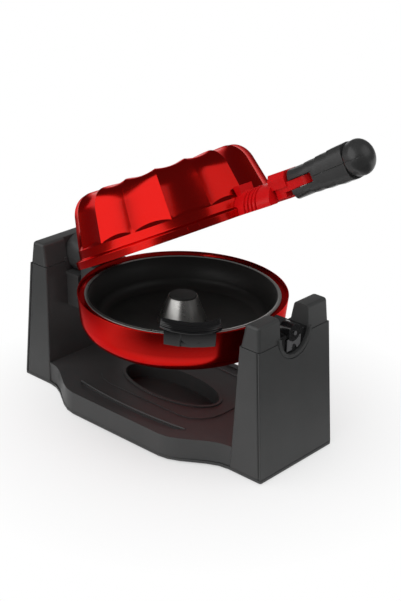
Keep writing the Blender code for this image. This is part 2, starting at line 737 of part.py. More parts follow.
def hollow_base(body):
    """Take out the inside of the base and towers, leaving the well and the screw bosses."""
    far = COVER_THICKNESS + CLEARANCE + WALL
    low = BASE_LOW - OVERRUN
    for side in (-1, 1):
        high = CAP_SEAM_HEIGHT + OVERRUN
        cut(body, tapered_block("tower_hollow", side, low, high, tower_rect(low, WALL, far, WALL),
                                tower_rect(high, WALL, far, WALL)))
    inside = [(x * (1 - WALL * 2 / TOWER_SPAN), y - WALL if y > 0 else y + WALL)
              for x, y in belly_outline(TOWER_SPAN, BELLY_TUCK)]
    hollow = prism("tray_hollow", inside, "Z", low, TRAY_HEIGHT - WALL)
    well = ellipse(WELL_HALF_LENGTH + WALL, WELL_HALF_DEPTH + WALL)
    cut(hollow, prism("well_wall", well, "Z", TRAY_HEIGHT - WELL_DEPTH - WALL, TRAY_HEIGHT))
    for x, y in screw_places():
        cut(hollow, cylinder("screw_boss", SCREW_BOSS_RADIUS, (x, y, BASE_LOW), (x, y, TRAY_HEIGHT),
                             SMALL_STEPS))
    cut(body, hollow)
    for x, y in screw_places():
        cut(body, cylinder("screw_hole", SCREW_SHANK_RADIUS + CLEARANCE, (x, y, BASE_LOW - OVERRUN),
                           (x, y, SCREW_LENGTH + CLEARANCE * 2), SMALL_STEPS))


def screw_places():
    return [(sx * SCREW_X, sy * SCREW_Y) for sx in (-1, 1) for sy in (-1, 1)]


def bottom_plate():
    """Closing plate that shows as a thin band under the base."""
    plate = prism("bottom_plate", belly_outline(STAND_LENGTH, 0), "Z", PLATE_LOW, PLATE_HIGH)
    for x, y in screw_places():
        cut(plate, cylinder("plate_hole", SCREW_HEAD_RADIUS + CLEARANCE, (x, y, 0),
                            (x, y, PLATE_HIGH + OVERRUN), SMALL_STEPS))
    finish_part(plate, DARK_PLASTIC)


def base_screws():
    """Four screws that hold the bottom plate to the base."""
    for number, (x, y) in enumerate(screw_places(), 1):
        screw = cylinder(f"base_screw_{number}", SCREW_HEAD_RADIUS,
                         (x, y, PLATE_HIGH - SCREW_HEAD_HEIGHT), (x, y, PLATE_HIGH), SCREW_STEPS)
        join(screw, cylinder("shank", SCREW_SHANK_RADIUS,
                             (x, y, PLATE_HIGH - SCREW_HEAD_HEIGHT / 2), (x, y, SCREW_LENGTH),
                             SCREW_STEPS))
        finish_part(screw, STEEL)


def rubber_feet():
    places = [(sx * FOOT_X, sy * FOOT_Y) for sy in (-1, 1) for sx in (-1, 1)]
    for number, (x, y) in enumerate(places, 1):
        foot = cylinder(f"rubber_foot_{number}", FOOT_RADIUS, (x, y, 0),
                        (x, y, PLATE_LOW - CLEARANCE), SMALL_STEPS)
        finish_part(foot, FOOT_RUBBER)


def side_cover(name, side):
    """Outer panel of a tower."""
    low, high = BASE_LOW, CAP_SEAM_HEIGHT - CLEARANCE
    low_rect = (tower_outer(low) - COVER_THICKNESS, tower_outer(low), tower_side(low))
    high_rect = (tower_outer(high) - COVER_THICKNESS, tower_outer(high), tower_side(high))
    cover = tapered_block(name, side, low, high, low_rect, high_rect, COVER_ROUND)
    if side > 0:
        seat = NOTCH_RADIUS + COLLAR_WALL + CLEARANCE
        cut(cover, cylinder("cover_seat", seat, (tower_inner(low), 0, AXIS_HEIGHT),
                            (STAND_LENGTH / 2 + OVERRUN, 0, AXIS_HEIGHT)))
    finish_part(cover, DARK_PLASTIC)


def tower_cap(name, side):
    """Cap of a tower with the round seat in which a journal turns."""
    low, high = CAP_SEAM_HEIGHT, CAP_TOP_HEIGHT
    near, far, depth = tower_rect(low, CAP_INSET, CAP_INSET, CAP_INSET)
    top = (near + CAP_INNER_LEAN, far - CAP_OUTER_LEAN, depth - CAP_SIDE_LEAN)
    cap = tapered_block(name, side, low, high, (near, far, depth), top, CAP_ROUND, True)
    pocket = LEFT_JOURNAL_END + RUNNING_CLEARANCE
    collar_near = tower_inner(low)
    if side > 0:
        collar_near = tower_inner(AXIS_HEIGHT - NOTCH_RADIUS) - COLLAR_INNER_PROUD
    collar_far = tower_outer(low) + COLLAR_OUTER_PROUD if side > 0 else pocket + POCKET_WALL
    radius = NOTCH_RADIUS + COLLAR_WALL
    collar = [(radius, AXIS_HEIGHT)] + arc((0, AXIS_HEIGHT), radius, radius, 0, -180,
                                           SHAFT_STEPS // 2)[1:]
    join(cap, prism("collar", collar, "X", side * collar_near, side * collar_far))
    notch_far = STAND_LENGTH / 2 + OVERRUN if side > 0 else pocket
    notch = notch_outline(NOTCH_RADIUS, CAP_TOP_HEIGHT + OVERRUN)
    cut(cap, prism("notch", notch, "X", side * (collar_near - OVERRUN), side * notch_far))
    finish_part(cap, DARK_PLASTIC)


def bearing_block():
    """Block on the left tower's inner face that carries the left journal."""
    split = BLOCK_HIGH - BLOCK_LIP_HEIGHT

    def rect(height, draw, gap):
        return (BLOCK_FACE + draw, tower_inner(height) - gap, BLOCK_HALF_DEPTH - draw)

    below = BLOCK_HIGH - BLOCK_LIP
    block = tapered_block("left_bearing_block", -1, BLOCK_LOW, below,
                          rect(BLOCK_LOW, BLOCK_LIP, CLEARANCE), rect(below, BLOCK_LIP, CLEARANCE))
    join(block, tapered_block("block_lip", -1, split, BLOCK_HIGH, rect(split, 0, CLEARANCE * 2),
                              rect(BLOCK_HIGH, 0, CLEARANCE * 2)))
    cut(block, cylinder("block_seat", JOURNAL_RADIUS + CLEARANCE,
                        (-BLOCK_FACE + OVERRUN, 0, AXIS_HEIGHT),
                        (-tower_inner(BLOCK_HIGH) - OVERRUN, 0, AXIS_HEIGHT)))
    finish_part(block, DARK_PLASTIC)


def cord_gland():
    """Bush at the rear foot of the left tower where the supply enters."""
    face = tower_side(GLAND_HEIGHT) + CLEARANCE
    gland = cylinder("cord_gland", GLAND_FLANGE_RADIUS, (-GLAND_X, face, GLAND_HEIGHT),
                     (-GLAND_X, face + GLAND_FLANGE_THICKNESS, GLAND_HEIGHT), SMALL_STEPS)
    join(gland, cylinder("gland_body", GLAND_RADIUS, (-GLAND_X, face - GLAND_LENGTH, GLAND_HEIGHT),
                         (-GLAND_X, face + GLAND_FLANGE_THICKNESS / 2, GLAND_HEIGHT), SMALL_STEPS))
    mouth = face + GLAND_FLANGE_THICKNESS
    cut(gland, cylinder("gland_bore", GLAND_BORE_RADIUS, (-GLAND_X, mouth + OVERRUN, GLAND_HEIGHT),
                        (-GLAND_X, mouth - GLAND_BORE_DEPTH, GLAND_HEIGHT), SMALL_STEPS))
    finish_part(gland, BLACK_PLASTIC)


def bowl_side(offset):
    """Outer side of the bowl from its rim to its floor, moved out by offset."""
    wall_radius = RIM_RADIUS - BOWL_DRAFT
    centre = (BOWL_FLOOR_RADIUS, -BOWL_WALL_HEIGHT)
    corner = arc(centre, wall_radius - BOWL_FLOOR_RADIUS + offset,
                 BOWL_DEPTH - BOWL_WALL_HEIGHT + offset, 0, -90)
    return [(RIM_RADIUS + offset, 0)] + corner + [(0, -BOWL_DEPTH - offset)]


def bowl_cutter(name):
    """Room that the bowl takes up, for pieces that are fitted to its side."""
    rim = [(0, OVERRUN), (RIM_RADIUS + CLEARANCE, OVERRUN)]
    return turned(name, rim + bowl_side(CLEARANCE), (HEAD_X, 0, AXIS_HEIGHT))


def lower_housing():
    """Pressed bowl with an inner ledge for the pan."""
    inner = bowl_side(-SHELL_WALL)
    outer = bowl_side(0)
    ledge_low = -LEDGE_DEPTH - LEDGE_THICKNESS
    lip = RIM_RADIUS - LIP_WIDTH
    profile = inner[:0:-1]
    profile += [(inner[0][0], ledge_low), (LEDGE_RADIUS, ledge_low), (LEDGE_RADIUS, -LEDGE_DEPTH),
                (lip - LIP_SLOPE, -LEDGE_DEPTH), (lip, -LIP_WIDTH / 2), (lip + LIP_WIDTH / 4, 0)]
    profile += [(RIM_RADIUS - LIP_WIDTH / 4, 0), (RIM_RADIUS, -LIP_WIDTH / 4)] + outer[1:]
    bowl = turned("lower_housing", profile, (HEAD_X, 0, AXIS_HEIGHT))
    finish_part(bowl, RED_PAINT)


def baking_pan():
    """Pan with a drawn cone in its middle; its lip rests on the bowl's ledge."""
    seat = -LEDGE_DEPTH + CLEARANCE
    foot_radius = PAN_RADIUS - PAN_DRAFT
    corner = arc((foot_radius - PAN_CORNER, -PAN_DEPTH + PAN_CORNER), PAN_CORNER, PAN_CORNER,
                 0, -90, 3)
    profile = [(PAN_RADIUS + PAN_LIP_WIDTH, seat), (PAN_RADIUS, seat)] + corner
    profile += [(CONE_FOOT_RADIUS, -PAN_DEPTH), (CONE_TIP_RADIUS, -CONE_TIP_GAP - PAN_WALL),
                (0, -CONE_TIP_GAP - PAN_WALL)]
    pan = turned("baking_pan", profile, (HEAD_X, 0, AXIS_HEIGHT), PAN_STEPS, wall=PAN_WALL)
    finish_part(pan, PAN_METAL)


def heater(name, centre, height):
    """Ring of sheathed heating rod with both ends turned inwards."""
    points = []
    for u, v in arc((0, 0), HEATER_RING_RADIUS, HEATER_RING_RADIUS, HEATER_GAP_ANGLE / 2,
                    360 - HEATER_GAP_ANGLE / 2, 24):
        points.append(Vector((u, v, height)))
    inward = 1 - TERMINAL_LENGTH / HEATER_RING_RADIUS
    ends = [Vector((end.x * inward, end.y * inward, height)) for end in (points[0], points[-1])]
    points = [ends[0]] + points + [ends[1]]
    rod = as_mesh(tube(name, [point + Vector(centre) for point in points], HEATER_RADIUS))
    finish_part(rod, STEEL)
    return rod


def lower_reflector():
    """Bright dish on the bowl's floor, with a post for the thermostat."""
    floor = -BOWL_DEPTH + SHELL_WALL + CLEARANCE
    top = floor + REFLECTOR_THICKNESS
    post = -THERMOSTAT_SEAT_DROP - CLEARANCE
    profile = [(0, post), (REFLECTOR_POST_RADIUS, post), (REFLECTOR_POST_RADIUS, top),
               (REFLECTOR_RADIUS, top), (REFLECTOR_RADIUS, floor), (0, floor)]
    dish = turned("lower_reflector", profile, (HEAD_X, 0, AXIS_HEIGHT), SHAFT_STEPS)
    finish_part(dish, REFLECTOR_METAL)


def thermostat():
    """Round bimetal switch inside the pan's cone."""
    low = AXIS_HEIGHT - THERMOSTAT_SEAT_DROP
    can = cylinder("pan_thermostat", THERMOSTAT_RADIUS, (HEAD_X, 0, low),
                   (HEAD_X, 0, low + THERMOSTAT_HEIGHT), SMALL_STEPS)
    finish_part(can, STEEL)


def hinge_bracket():
    """Bracket on the bowl's left side with two raised ears for the lid's hinge pin."""
    left = -LEFT_JOURNAL_START + CLEARANCE
    half = KNUCKLE_HALF_LENGTH + CLEARANCE + EAR_WIDTH
    low = AXIS_HEIGHT - BRACKET_DROP
    top = AXIS_HEIGHT - BRACKET_TOP_DROP
    bracket = box("hinge_bracket", (left, -half, low), (HINGE_X + PIVOT_OFFSET * 2, half, top))
    for sign in (-1, 1):
        inner, outer = sorted((sign * (half - EAR_WIDTH), sign * half))
        join(bracket, box("ear", (HINGE_X - EAR_RADIUS, inner, top - WALL),
                          (HINGE_X + EAR_RADIUS, outer, HINGE_Z)))
        join(bracket, cylinder("ear_top", EAR_RADIUS, (HINGE_X, inner, HINGE_Z),
                               (HINGE_X, outer, HINGE_Z), SMALL_STEPS))
    cut(bracket, cylinder("bracket_pin_hole", HINGE_PIN_RADIUS + CLEARANCE,
                          (HINGE_X, -half - OVERRUN, HINGE_Z),
                          (HINGE_X, half + OVERRUN, HINGE_Z), SMALL_STEPS))
    cut(bracket, bowl_cutter("bracket_bowl_room"))
    finish_part(bracket, DARK_PLASTIC)


def hinge_pin():
    half = KNUCKLE_HALF_LENGTH + CLEARANCE * 2 + EAR_WIDTH
    reach = half + HINGE_PIN_HEAD_LENGTH / 2
    pin = cylinder("hinge_pin", HINGE_PIN_RADIUS, (HINGE_X, -reach, HINGE_Z),
                   (HINGE_X, reach, HINGE_Z), SMALL_STEPS)
    for sign in (-1, 1):
        join(pin, cylinder("pin_head", HINGE_PIN_HEAD_RADIUS, (HINGE_X, sign * half, HINGE_Z),
                           (HINGE_X, sign * (half + HINGE_PIN_HEAD_LENGTH), HINGE_Z),
                           SCREW_STEPS))
    finish_part(pin, STEEL)


def left_journal():
    """Hollow shaft that turns in the left tower and lets the wiring through."""
    shaft = cylinder("left_journal", JOURNAL_RADIUS, (-LEFT_JOURNAL_END, 0, AXIS_HEIGHT),
                     (-LEFT_JOURNAL_START, 0, AXIS_HEIGHT))
    cut(shaft, cylinder("cable_bore", CABLE_BORE_RADIUS,
                        (-LEFT_JOURNAL_END - OVERRUN, 0, AXIS_HEIGHT),
                        (-LEFT_JOURNAL_START + OVERRUN, 0, AXIS_HEIGHT), SMALL_STEPS))
    finish_part(shaft, DARK_PLASTIC)


def half_round(name, top, stations):
    """Half shaft through (distance along X, radius) stations, above or below the axis."""
    shift = SKIRT_LOW if top else -CLEARANCE
    rings = []
    for distance, radius in stations:
        section = arc((0, AXIS_HEIGHT + shift), radius, radius - abs(shift), 0,
                      180 if top else -180, SHAFT_STEPS // 2)
        rings.append([(distance, y, z) for y, z in section])
    return loft(name, rings)


def right_journal():
    """Half shaft on the bowl's right side; the neck above it completes the round."""
    shaft = half_round("right_journal", False, [(RIGHT_JOURNAL_START, JOURNAL_RADIUS),
                                                (RIGHT_JOURNAL_END, JOURNAL_RADIUS)])
    join(shaft, cylinder("boss", BOSS_RADIUS, (BOSS_START, 0, AXIS_HEIGHT),
                         (BOSS_END, 0, AXIS_HEIGHT), SMALL_STEPS))
    cut(shaft, bowl_cutter("journal_bowl_room"))
    cut(shaft, cylinder("boss_hole", CAP_SCREW_SHANK_RADIUS + CLEARANCE,
                        (BOSS_END + OVERRUN, 0, AXIS_HEIGHT),
                        (BOSS_END - CAP_SCREW_LENGTH - CLEARANCE, 0, AXIS_HEIGHT), SMALL_STEPS))
    finish_part(shaft, BLACK_PLASTIC)


def journal_keeper():
    """Grey forked plate on the end of the right journal."""
    top = AXIS_HEIGHT - KEEPER_TOP_DROP
    low = AXIS_HEIGHT - KEEPER_DROP
    slot_top = AXIS_HEIGHT - KEEPER_SLOT_TOP_DROP
    half, slot = KEEPER_HALF_WIDTH, KEEPER_SLOT_HALF_WIDTH
    outline = [(-half, top), (half, top), (half, low + slot), (slot * 2, low), (slot / 2, slot_top),
               (-slot / 2, slot_top), (-slot, low), (-half, low)]
    near = RIGHT_JOURNAL_END + CLEARANCE
    plate = prism("journal_keeper", outline, "X", near, near + KEEPER_THICKNESS)
    cut(plate, cylinder("keeper_bite", BOSS_RADIUS + CLEARANCE,
                        (near - OVERRUN, 0, AXIS_HEIGHT),
                        (near + OVERRUN, 0, AXIS_HEIGHT), SMALL_STEPS))
    finish_part(plate, STEEL)


def journal_screw():
    start = BOSS_END + CLEARANCE
    screw = cylinder("journal_screw", CAP_SCREW_RADIUS, (start, 0, AXIS_HEIGHT),
                     (start + CAP_SCREW_HEIGHT, 0, AXIS_HEIGHT), SMALL_STEPS)
    join(screw, cylinder("screw_shank", CAP_SCREW_SHANK_RADIUS,
                         (BOSS_END - CAP_SCREW_LENGTH, 0, AXIS_HEIGHT),
                         (start + CAP_SCREW_HEIGHT / 2, 0, AXIS_HEIGHT), SMALL_STEPS))
    finish_part(screw, STEEL)


def latch_place(radius, tangent, height):
    """Point at a radius and a sideways distance in the latch's own direction."""
    return (Vector((HEAD_X, 0, AXIS_HEIGHT + height)) + LATCH_RADIAL * radius
            + LATCH_TANGENT * tangent)


def turn_to_latch(piece):
    """Set a piece, modelled along the head's own X axis, in the latch's direction."""
    piece.matrix_world = (Matrix.Translation((HEAD_X, 0, AXIS_HEIGHT))
                          @ Matrix.Rotation(radians(LATCH_ANGLE), 4, "Z"))
    return piece


def latch_box(name, radius_low, radius_high, tangent_low, tangent_high, low, high):
    """Block square to the latch's direction."""
    return turn_to_latch(box(name, (radius_low, tangent_low, low),
                             (radius_high, tangent_high, high)))


def latch_saddle():
    """Saddle on the bowl with two round-ended lugs for the latch pin."""
    half = LUG_INNER + LUG_WIDTH
    saddle = latch_box("latch_saddle", LEDGE_RADIUS, SADDLE_RADIUS, -half - CLEARANCE,
                       half + CLEARANCE, -SADDLE_LOW_DROP, -LATCH_PIVOT_DROP)
    lug_outline = arc((LATCH_PIVOT_RADIUS, -LATCH_PIVOT_DROP), LUG_REACH, LUG_REACH, -90, 90,
                      SMALL_STEPS // 2)
    root = SADDLE_RADIUS - WALL
    lug_outline += [(root, LUG_REACH - LATCH_PIVOT_DROP), (root, -LUG_REACH - LATCH_PIVOT_DROP)]
    for sign in (-1, 1):
        inner, outer = sorted((sign * LUG_INNER, sign * half))
        join(saddle, turn_to_latch(prism("lug", lug_outline, "Y", inner, outer)))
    cut(saddle, bowl_cutter("saddle_bowl_room"))
    cut(saddle, cylinder("lug_hole", LATCH_PIN_RADIUS + CLEARANCE,
                         latch_place(LATCH_PIVOT_RADIUS, -half - OVERRUN, -LATCH_PIVOT_DROP),
                         latch_place(LATCH_PIVOT_RADIUS, half + OVERRUN, -LATCH_PIVOT_DROP),
                         SMALL_STEPS))
    finish_part(saddle, BLACK_PLASTIC)


def latch_pin():
    half = LUG_INNER + LUG_WIDTH
    pin = cylinder("latch_pin", LATCH_PIN_RADIUS,
                   latch_place(LATCH_PIVOT_RADIUS, -half, -LATCH_PIVOT_DROP),
                   latch_place(LATCH_PIVOT_RADIUS, half, -LATCH_PIVOT_DROP), SMALL_STEPS)
    finish_part(pin, STEEL)


def latch_clip():
    """Curved latch: hook above the lid's flange, thumb lip outside, pivot below."""
    section = [(HOOK_RADIUS, HOOK_LOW), (HOOK_RADIUS, HOOK_LOW + HOOK_THICKNESS),
               (LATCH_LIP_RADIUS, LATCH_LIP_HIGH), (LATCH_LIP_RADIUS - LATCH_LIP_LOW / 4,
                                                     LATCH_LIP_LOW),
               (LATCH_FACE_RADIUS, -LATCH_PIVOT_DROP), (LATCH_FOOT_RADIUS, -LATCH_FOOT_DROP),
               (LATCH_INNER_RADIUS, -LATCH_FOOT_DROP), (LATCH_INNER_RADIUS, HOOK_LOW)]
    rings = []
    for i in range(LATCH_STEPS + 1):
        share = 2 * i / LATCH_STEPS - 1
        slim = LATCH_END_SLIMNESS * share ** 4
        ring = []
        for radius, height in section:
            width = 1 if height > LATCH_LIP_LOW - MERGE else LATCH_BODY_SHARE
            angle = radians(LATCH_ANGLE + LATCH_HALF_SPAN_ANGLE * share * width)
            if radius > LATCH_INNER_RADIUS:
                radius -= slim * (radius - LATCH_INNER_RADIUS)
            ring.append((HEAD_X + radius * cos(angle), radius * sin(angle),
                         AXIS_HEIGHT + height))
        rings.append(ring)
    clip = loft("latch_clip", rings)
    for sign in (-1, 1):
        inner, outer = sorted((sign * (LUG_INNER - LUG_GAP),
                               sign * (LUG_INNER + LUG_WIDTH + LUG_GAP)))
        cut(clip, latch_box("lug_room", HOOK_RADIUS - OVERRUN,
                            LATCH_PIVOT_RADIUS + LUG_REACH + LUG_GAP, inner, outer,
                            -LATCH_FOOT_DROP - OVERRUN,
                            -LATCH_PIVOT_DROP + LUG_REACH + LUG_ROOM_RISE))
    half = LUG_INNER + LUG_WIDTH + LUG_GAP
    cut(clip, cylinder("clip_pin_hole", LATCH_PIN_RADIUS + CLEARANCE,
                       latch_place(LATCH_PIVOT_RADIUS, -half, -LATCH_PIVOT_DROP),
                       latch_place(LATCH_PIVOT_RADIUS, half, -LATCH_PIVOT_DROP), SMALL_STEPS))
    finish_part(clip, BLACK_PLASTIC)


def dome_side(offset):
    """Outer side of the lid, along a ridge, from crown to skirt, moved out by offset."""
    crown_height = DOME_HEIGHT - DOME_CROWN_DROP
    centre = (DOME_CROWN_RADIUS, DOME_WALL_HEIGHT)
    shoulder = arc(centre, SHOULDER_WIDTH + offset, SHOULDER_HEIGHT + offset, 90, 0)
    top = [(0, DOME_HEIGHT + offset), (FLUTE_FADE_RADIUS, DOME_HEIGHT + offset)]
    band = DOME_RADIUS - BAND_DRAFT + offset
    lean = (band - shoulder[-1][0]) / (DOME_WALL_HEIGHT - BAND_HEIGHT)
    wall = [(band - lean * FLUTE_FOOT_HEIGHT, BAND_HEIGHT + FLUTE_FOOT_HEIGHT),
            (band, BAND_HEIGHT), (DOME_RADIUS + offset, SKIRT_HIGH + BAND_RISE + offset)]
    rim = RIM_RADIUS + offset
    skirt = [(rim - SKIRT_ROUND, SKIRT_HIGH + offset), (rim, SKIRT_HIGH - SKIRT_ROUND + offset)]
    return top + shoulder + wall + skirt + [(rim, SKIRT_LOW)]


def flute(obj, dips_at):
    """Sink the panels between the ridges of a turned shell, inwards and downwards."""
    for vert in obj.data.vertices:
        radius = sqrt(vert.co.x ** 2 + vert.co.y ** 2)
        if radius < MERGE:
            continue
        turn = Vector((1, 0)).angle_signed(Vector((vert.co.x, -vert.co.y)), 0)
        place = turn * FLUTE_COUNT / (2 * pi) + 1 / 2
        share = 2 * (place - round(place))
        inward, downward = dips_at(radius, vert.co.z)
        keep = 1 - inward * (1 - share ** 2) / radius
        vert.co.x *= keep
        vert.co.y *= keep
        vert.co.z -= downward * (1 - share ** 2)


def dome_dips(radius, height):
    """Sink of a panel's middle: none on the band and crown, downwards on the shoulder."""
    if height < BAND_HEIGHT + MERGE or radius < FLUTE_FADE_RADIUS + MERGE:
        return 0, 0
    climb = max(0, height - DOME_WALL_HEIGHT) / (DOME_HEIGHT - DOME_WALL_HEIGHT)
    inward = FLUTE_DEPTH * min(1, (height - BAND_HEIGHT) / FLUTE_FOOT_HEIGHT)
    return inward * sqrt(1 - climb ** 2), FLUTE_CROWN_DROP * climb


def lid_shell():
    """Pressed fluted dome with a flange and a skirt round its rim."""
    place = (LID_X, 0, AXIS_HEIGHT)
    shell = as_mesh(turned("lid_shell", dome_side(0), place, FLUTE_COUNT * FLUTE_STEPS))
    flute(shell, dome_dips)
    thicken(shell, SHELL_WALL)
    finish_part(shell, RED_PAINT)
    return shell


def lid_mould():
    """Fluted upper mould with a cone that meets the pan's cone."""
    tip = CONE_TIP_GAP
    corner_centre = (MOULD_CROWN_RADIUS, MOULD_DEPTH - MOULD_CORNER_HEIGHT)
    corner = arc(corner_centre, MOULD_CORNER_WIDTH, MOULD_CORNER_HEIGHT, 90, 0, 3)
    flange = RIM_RADIUS - SHELL_WALL - CLEARANCE
    profile = [(0, tip + PAN_WALL), (CONE_TIP_RADIUS - PAN_WALL, tip + PAN_WALL),
               (CONE_FOOT_RADIUS, MOULD_DEPTH)] + corner
    profile += [(MOULD_RADIUS, MOULD_FLANGE_HEIGHT), (flange, MOULD_FLANGE_HEIGHT)]
    place = (LID_X, 0, AXIS_HEIGHT)
    mould = as_mesh(turned("lid_mould", profile, place, FLUTE_COUNT * MOULD_FLUTE_STEPS))

    def mould_dips(radius, height):
        on_wall = height > MOULD_FLANGE_HEIGHT + MERGE and radius > CONE_FOOT_RADIUS + MERGE
        return MOULD_FLUTE_DEPTH if on_wall else 0, 0

    flute(mould, mould_dips)
    thicken(mould, PAN_WALL)
    finish_part(mould, COATED_METAL)
    return mould


def lid_reflector():
    """Bright disc above the lid's heater."""
    low = MOULD_DEPTH + HEATER_RADIUS * 2 + CLEARANCE * 2
    high = low + REFLECTOR_THICKNESS
    edge = low - HEATER_RADIUS
    inner = LID_REFLECTOR_RADIUS - REFLECTOR_THICKNESS
    profile = [(0, high), (LID_REFLECTOR_RADIUS, high), (LID_REFLECTOR_RADIUS, edge),
               (inner, edge), (inner, low), (0, low)]
    disc = turned("lid_reflector", profile, (LID_X, 0, AXIS_HEIGHT), SHAFT_STEPS)
    finish_part(disc, REFLECTOR_METAL)
    return disc


def lid_cutter(name):
    """Room that the lid takes up, for pieces that are fitted to its side."""
    side = dome_side(CLEARANCE)[:-1]
    return turned(name, side + [(RIM_RADIUS + CLEARANCE, -OVERRUN), (0, -OVERRUN)],
                  (LID_X, 0, AXIS_HEIGHT), FLUTE_COUNT * FLUTE_STEPS)


def lid_knuckle():
    """Cranked arm from the lid's skirt up to the knuckle on the hinge pin."""
    half = KNUCKLE_HALF_LENGTH
    knuckle = cylinder("lid_knuckle", KNUCKLE_RADIUS, (HINGE_X, -half, HINGE_Z),
                       (HINGE_X, half, HINGE_Z), SMALL_STEPS)
    low, high = AXIS_HEIGHT + KNUCKLE_ARM_LOW, AXIS_HEIGHT + KNUCKLE_ARM_HIGH
    near, far = HINGE_X - KNUCKLE_RADIUS, HINGE_X + KNUCKLE_RADIUS
    reach = HINGE_X + KNUCKLE_ARM_REACH
    outline = [(near, HINGE_Z), (near + KNUCKLE_ARM_LEAN, low), (reach, low), (reach, high),
               (far + KNUCKLE_ARM_LEAN, high), (far, HINGE_Z)]
    arm = prism("arm", outline, "Y", -half, half)
    room = lid_cutter("knuckle_lid_room")
    hole = cylinder("knuckle_pin_hole", HINGE_PIN_RADIUS + CLEARANCE,
                    (HINGE_X, -half - OVERRUN, HINGE_Z),
                    (HINGE_X, half + OVERRUN, HINGE_Z), SMALL_STEPS)
    join(knuckle, arm)
    cut(knuckle, room, hole)
    finish_part(knuckle, BLACK_PLASTIC)
    carry(LID_GUIDE, HINGE, knuckle, arm, room, hole)


def catch_tab():
    """Small tab on the skirt that the latch hook holds down."""
    turn = (Matrix.Translation((LID_X, 0, AXIS_HEIGHT))
            @ Matrix.Rotation(radians(CATCH_ANGLE), 4, "Z"))
    tab = box("catch_tab", (RIM_RADIUS - WALL, -CATCH_HALF_WIDTH, CATCH_LOW),
              (RIM_RADIUS + CATCH_REACH, CATCH_HALF_WIDTH, CATCH_HIGH))
    tab.data.transform(turn)
    room = lid_cutter("tab_lid_room")
    cut(tab, room)
    finish_part(tab, RED_PAINT)
    carry(LID_GUIDE, HINGE, tab, room)


def neck_outline():
    """Section of the neck's block, chamfered along its top."""
    half, top = NECK_BLOCK_HALF_WIDTH, AXIS_HEIGHT + NECK_BLOCK_HIGH
    low = AXIS_HEIGHT + NECK_BLOCK_LOW
    shoulder = top - NECK_CHAMFER_HEIGHT
    return [(-half, low), (half, low), (half, shoulder), (half - NECK_CHAMFER_WIDTH, top),
            (NECK_CHAMFER_WIDTH - half, top), (-half, shoulder)]


def handle_neck():
    """Red arm from the lid through the right tower's notch to the grip's tongue."""
    stations = [(NECK_START, JOURNAL_RADIUS)]
    for i in range(NECK_RIB_COUNT):
        start = NECK_RIB_START + NECK_RIB_PITCH * i
        end = start + NECK_RIB_GROOVE
        groove = JOURNAL_RADIUS - NECK_RIB_DEPTH
        stations += [(start, JOURNAL_RADIUS), (start + NECK_RIB_FLANK_WIDTH, groove),
                     (end - NECK_RIB_FLANK_WIDTH, groove), (end, JOURNAL_RADIUS)]
    neck = half_round("handle_neck", True, stations + [(NECK_JOURNAL_END, JOURNAL_RADIUS)])
    block = prism("block", neck_outline(), "X", NECK_BLOCK_START, PIN_X - GRIP_HALF_WIDTH - WALL)
    foot = box("neck_foot", (NECK_FOOT_START, -NECK_FOOT_HALF_WIDTH, AXIS_HEIGHT + NECK_FOOT_LOW),
               (NECK_FOOT_END, NECK_FOOT_HALF_WIDTH, AXIS_HEIGHT + NECK_BLOCK_LOW + WALL))
    lug = box("root_lug", (NECK_START + WALL, -LUG_HALF_WIDTH, AXIS_HEIGHT + SKIRT_HIGH),
              (LUG_END, LUG_HALF_WIDTH, AXIS_HEIGHT + LUG_HIGH))
    join(neck, block, foot, lug)
    recess = cylinder("boss_recess", BOSS_RADIUS + BOSS_RECESS_GAP,
                      (BOSS_RECESS_START, 0, AXIS_HEIGHT), (BOSS_RECESS_END, 0, AXIS_HEIGHT),
                      SMALL_STEPS)
    room = lid_cutter("neck_lid_room")
    cut(neck, recess, room)
    reach = NOSE_LENGTH + CLEARANCE * 2
    end_room = cylinder("end_room", reach, (0, 0, -GRIP_LENGTH), (0, 0, GRIP_LENGTH))
    cut(neck, end_room)
    tongue_start = -reach - TONGUE_HALF_WIDTH / 2
    outline = [(tongue_start, -TONGUE_HALF_WIDTH)]
    outline += arc((0, 0), TONGUE_HALF_WIDTH, TONGUE_HALF_WIDTH, -90, 90, SMALL_STEPS // 2)
    outline += [(tongue_start, TONGUE_HALF_WIDTH)]
    tongue = prism("tongue", outline, "Z", -TONGUE_HALF_THICKNESS, TONGUE_HALF_THICKNESS)
    join(neck, tongue)
    hole = cylinder("tongue_hole", FOLD_PIN_RADIUS + CLEARANCE, (0, 0, -OVERRUN * 2),
                    (0, 0, OVERRUN * 2), SMALL_STEPS)
    cut(neck, hole)
    finish_part(neck, RED_PAINT)
    carry(LID_GUIDE, HINGE, neck, block, foot, lug, recess, room)
    carry(GRIP_GUIDE, Vector(), end_room, tongue, hole)


def fold_pin():
    """Steel pin on which the grip folds."""
    pin = cylinder("fold_pin", FOLD_PIN_RADIUS, (0, 0, -FOLD_PIN_HALF_LENGTH),
                   (0, 0, FOLD_PIN_HALF_LENGTH), SMALL_STEPS)
    finish_part(pin, STEEL)
    carry(GRIP_GUIDE, Vector(), pin)


def grip_sections():
    """Stations along the grip as (distance, half width, half height)."""
    stations = []
    for turn in (4, 16, 30, 44):
        stations.append((-NOSE_LENGTH * cos(radians(turn)), NOSE_LENGTH * sin(radians(turn)),
                         GRIP_HALF_HEIGHT))
    height = GRIP_HALF_HEIGHT
    stations.append((0, GRIP_HALF_WIDTH, height))
    for i in range(STEP_COUNT):
        start = STEP_OFFSET + STEP_PITCH * i
        stations.append((start, GRIP_HALF_WIDTH, height - STEP_FALL))
        height += STEP_RISE
        stations.append((start + STEP_RUN, GRIP_HALF_WIDTH, height - STEP_FALL))
    stations.append((GRIP_LENGTH - BALL_LENGTH - CLEARANCE, GRIP_HALF_WIDTH, height))
    return stations


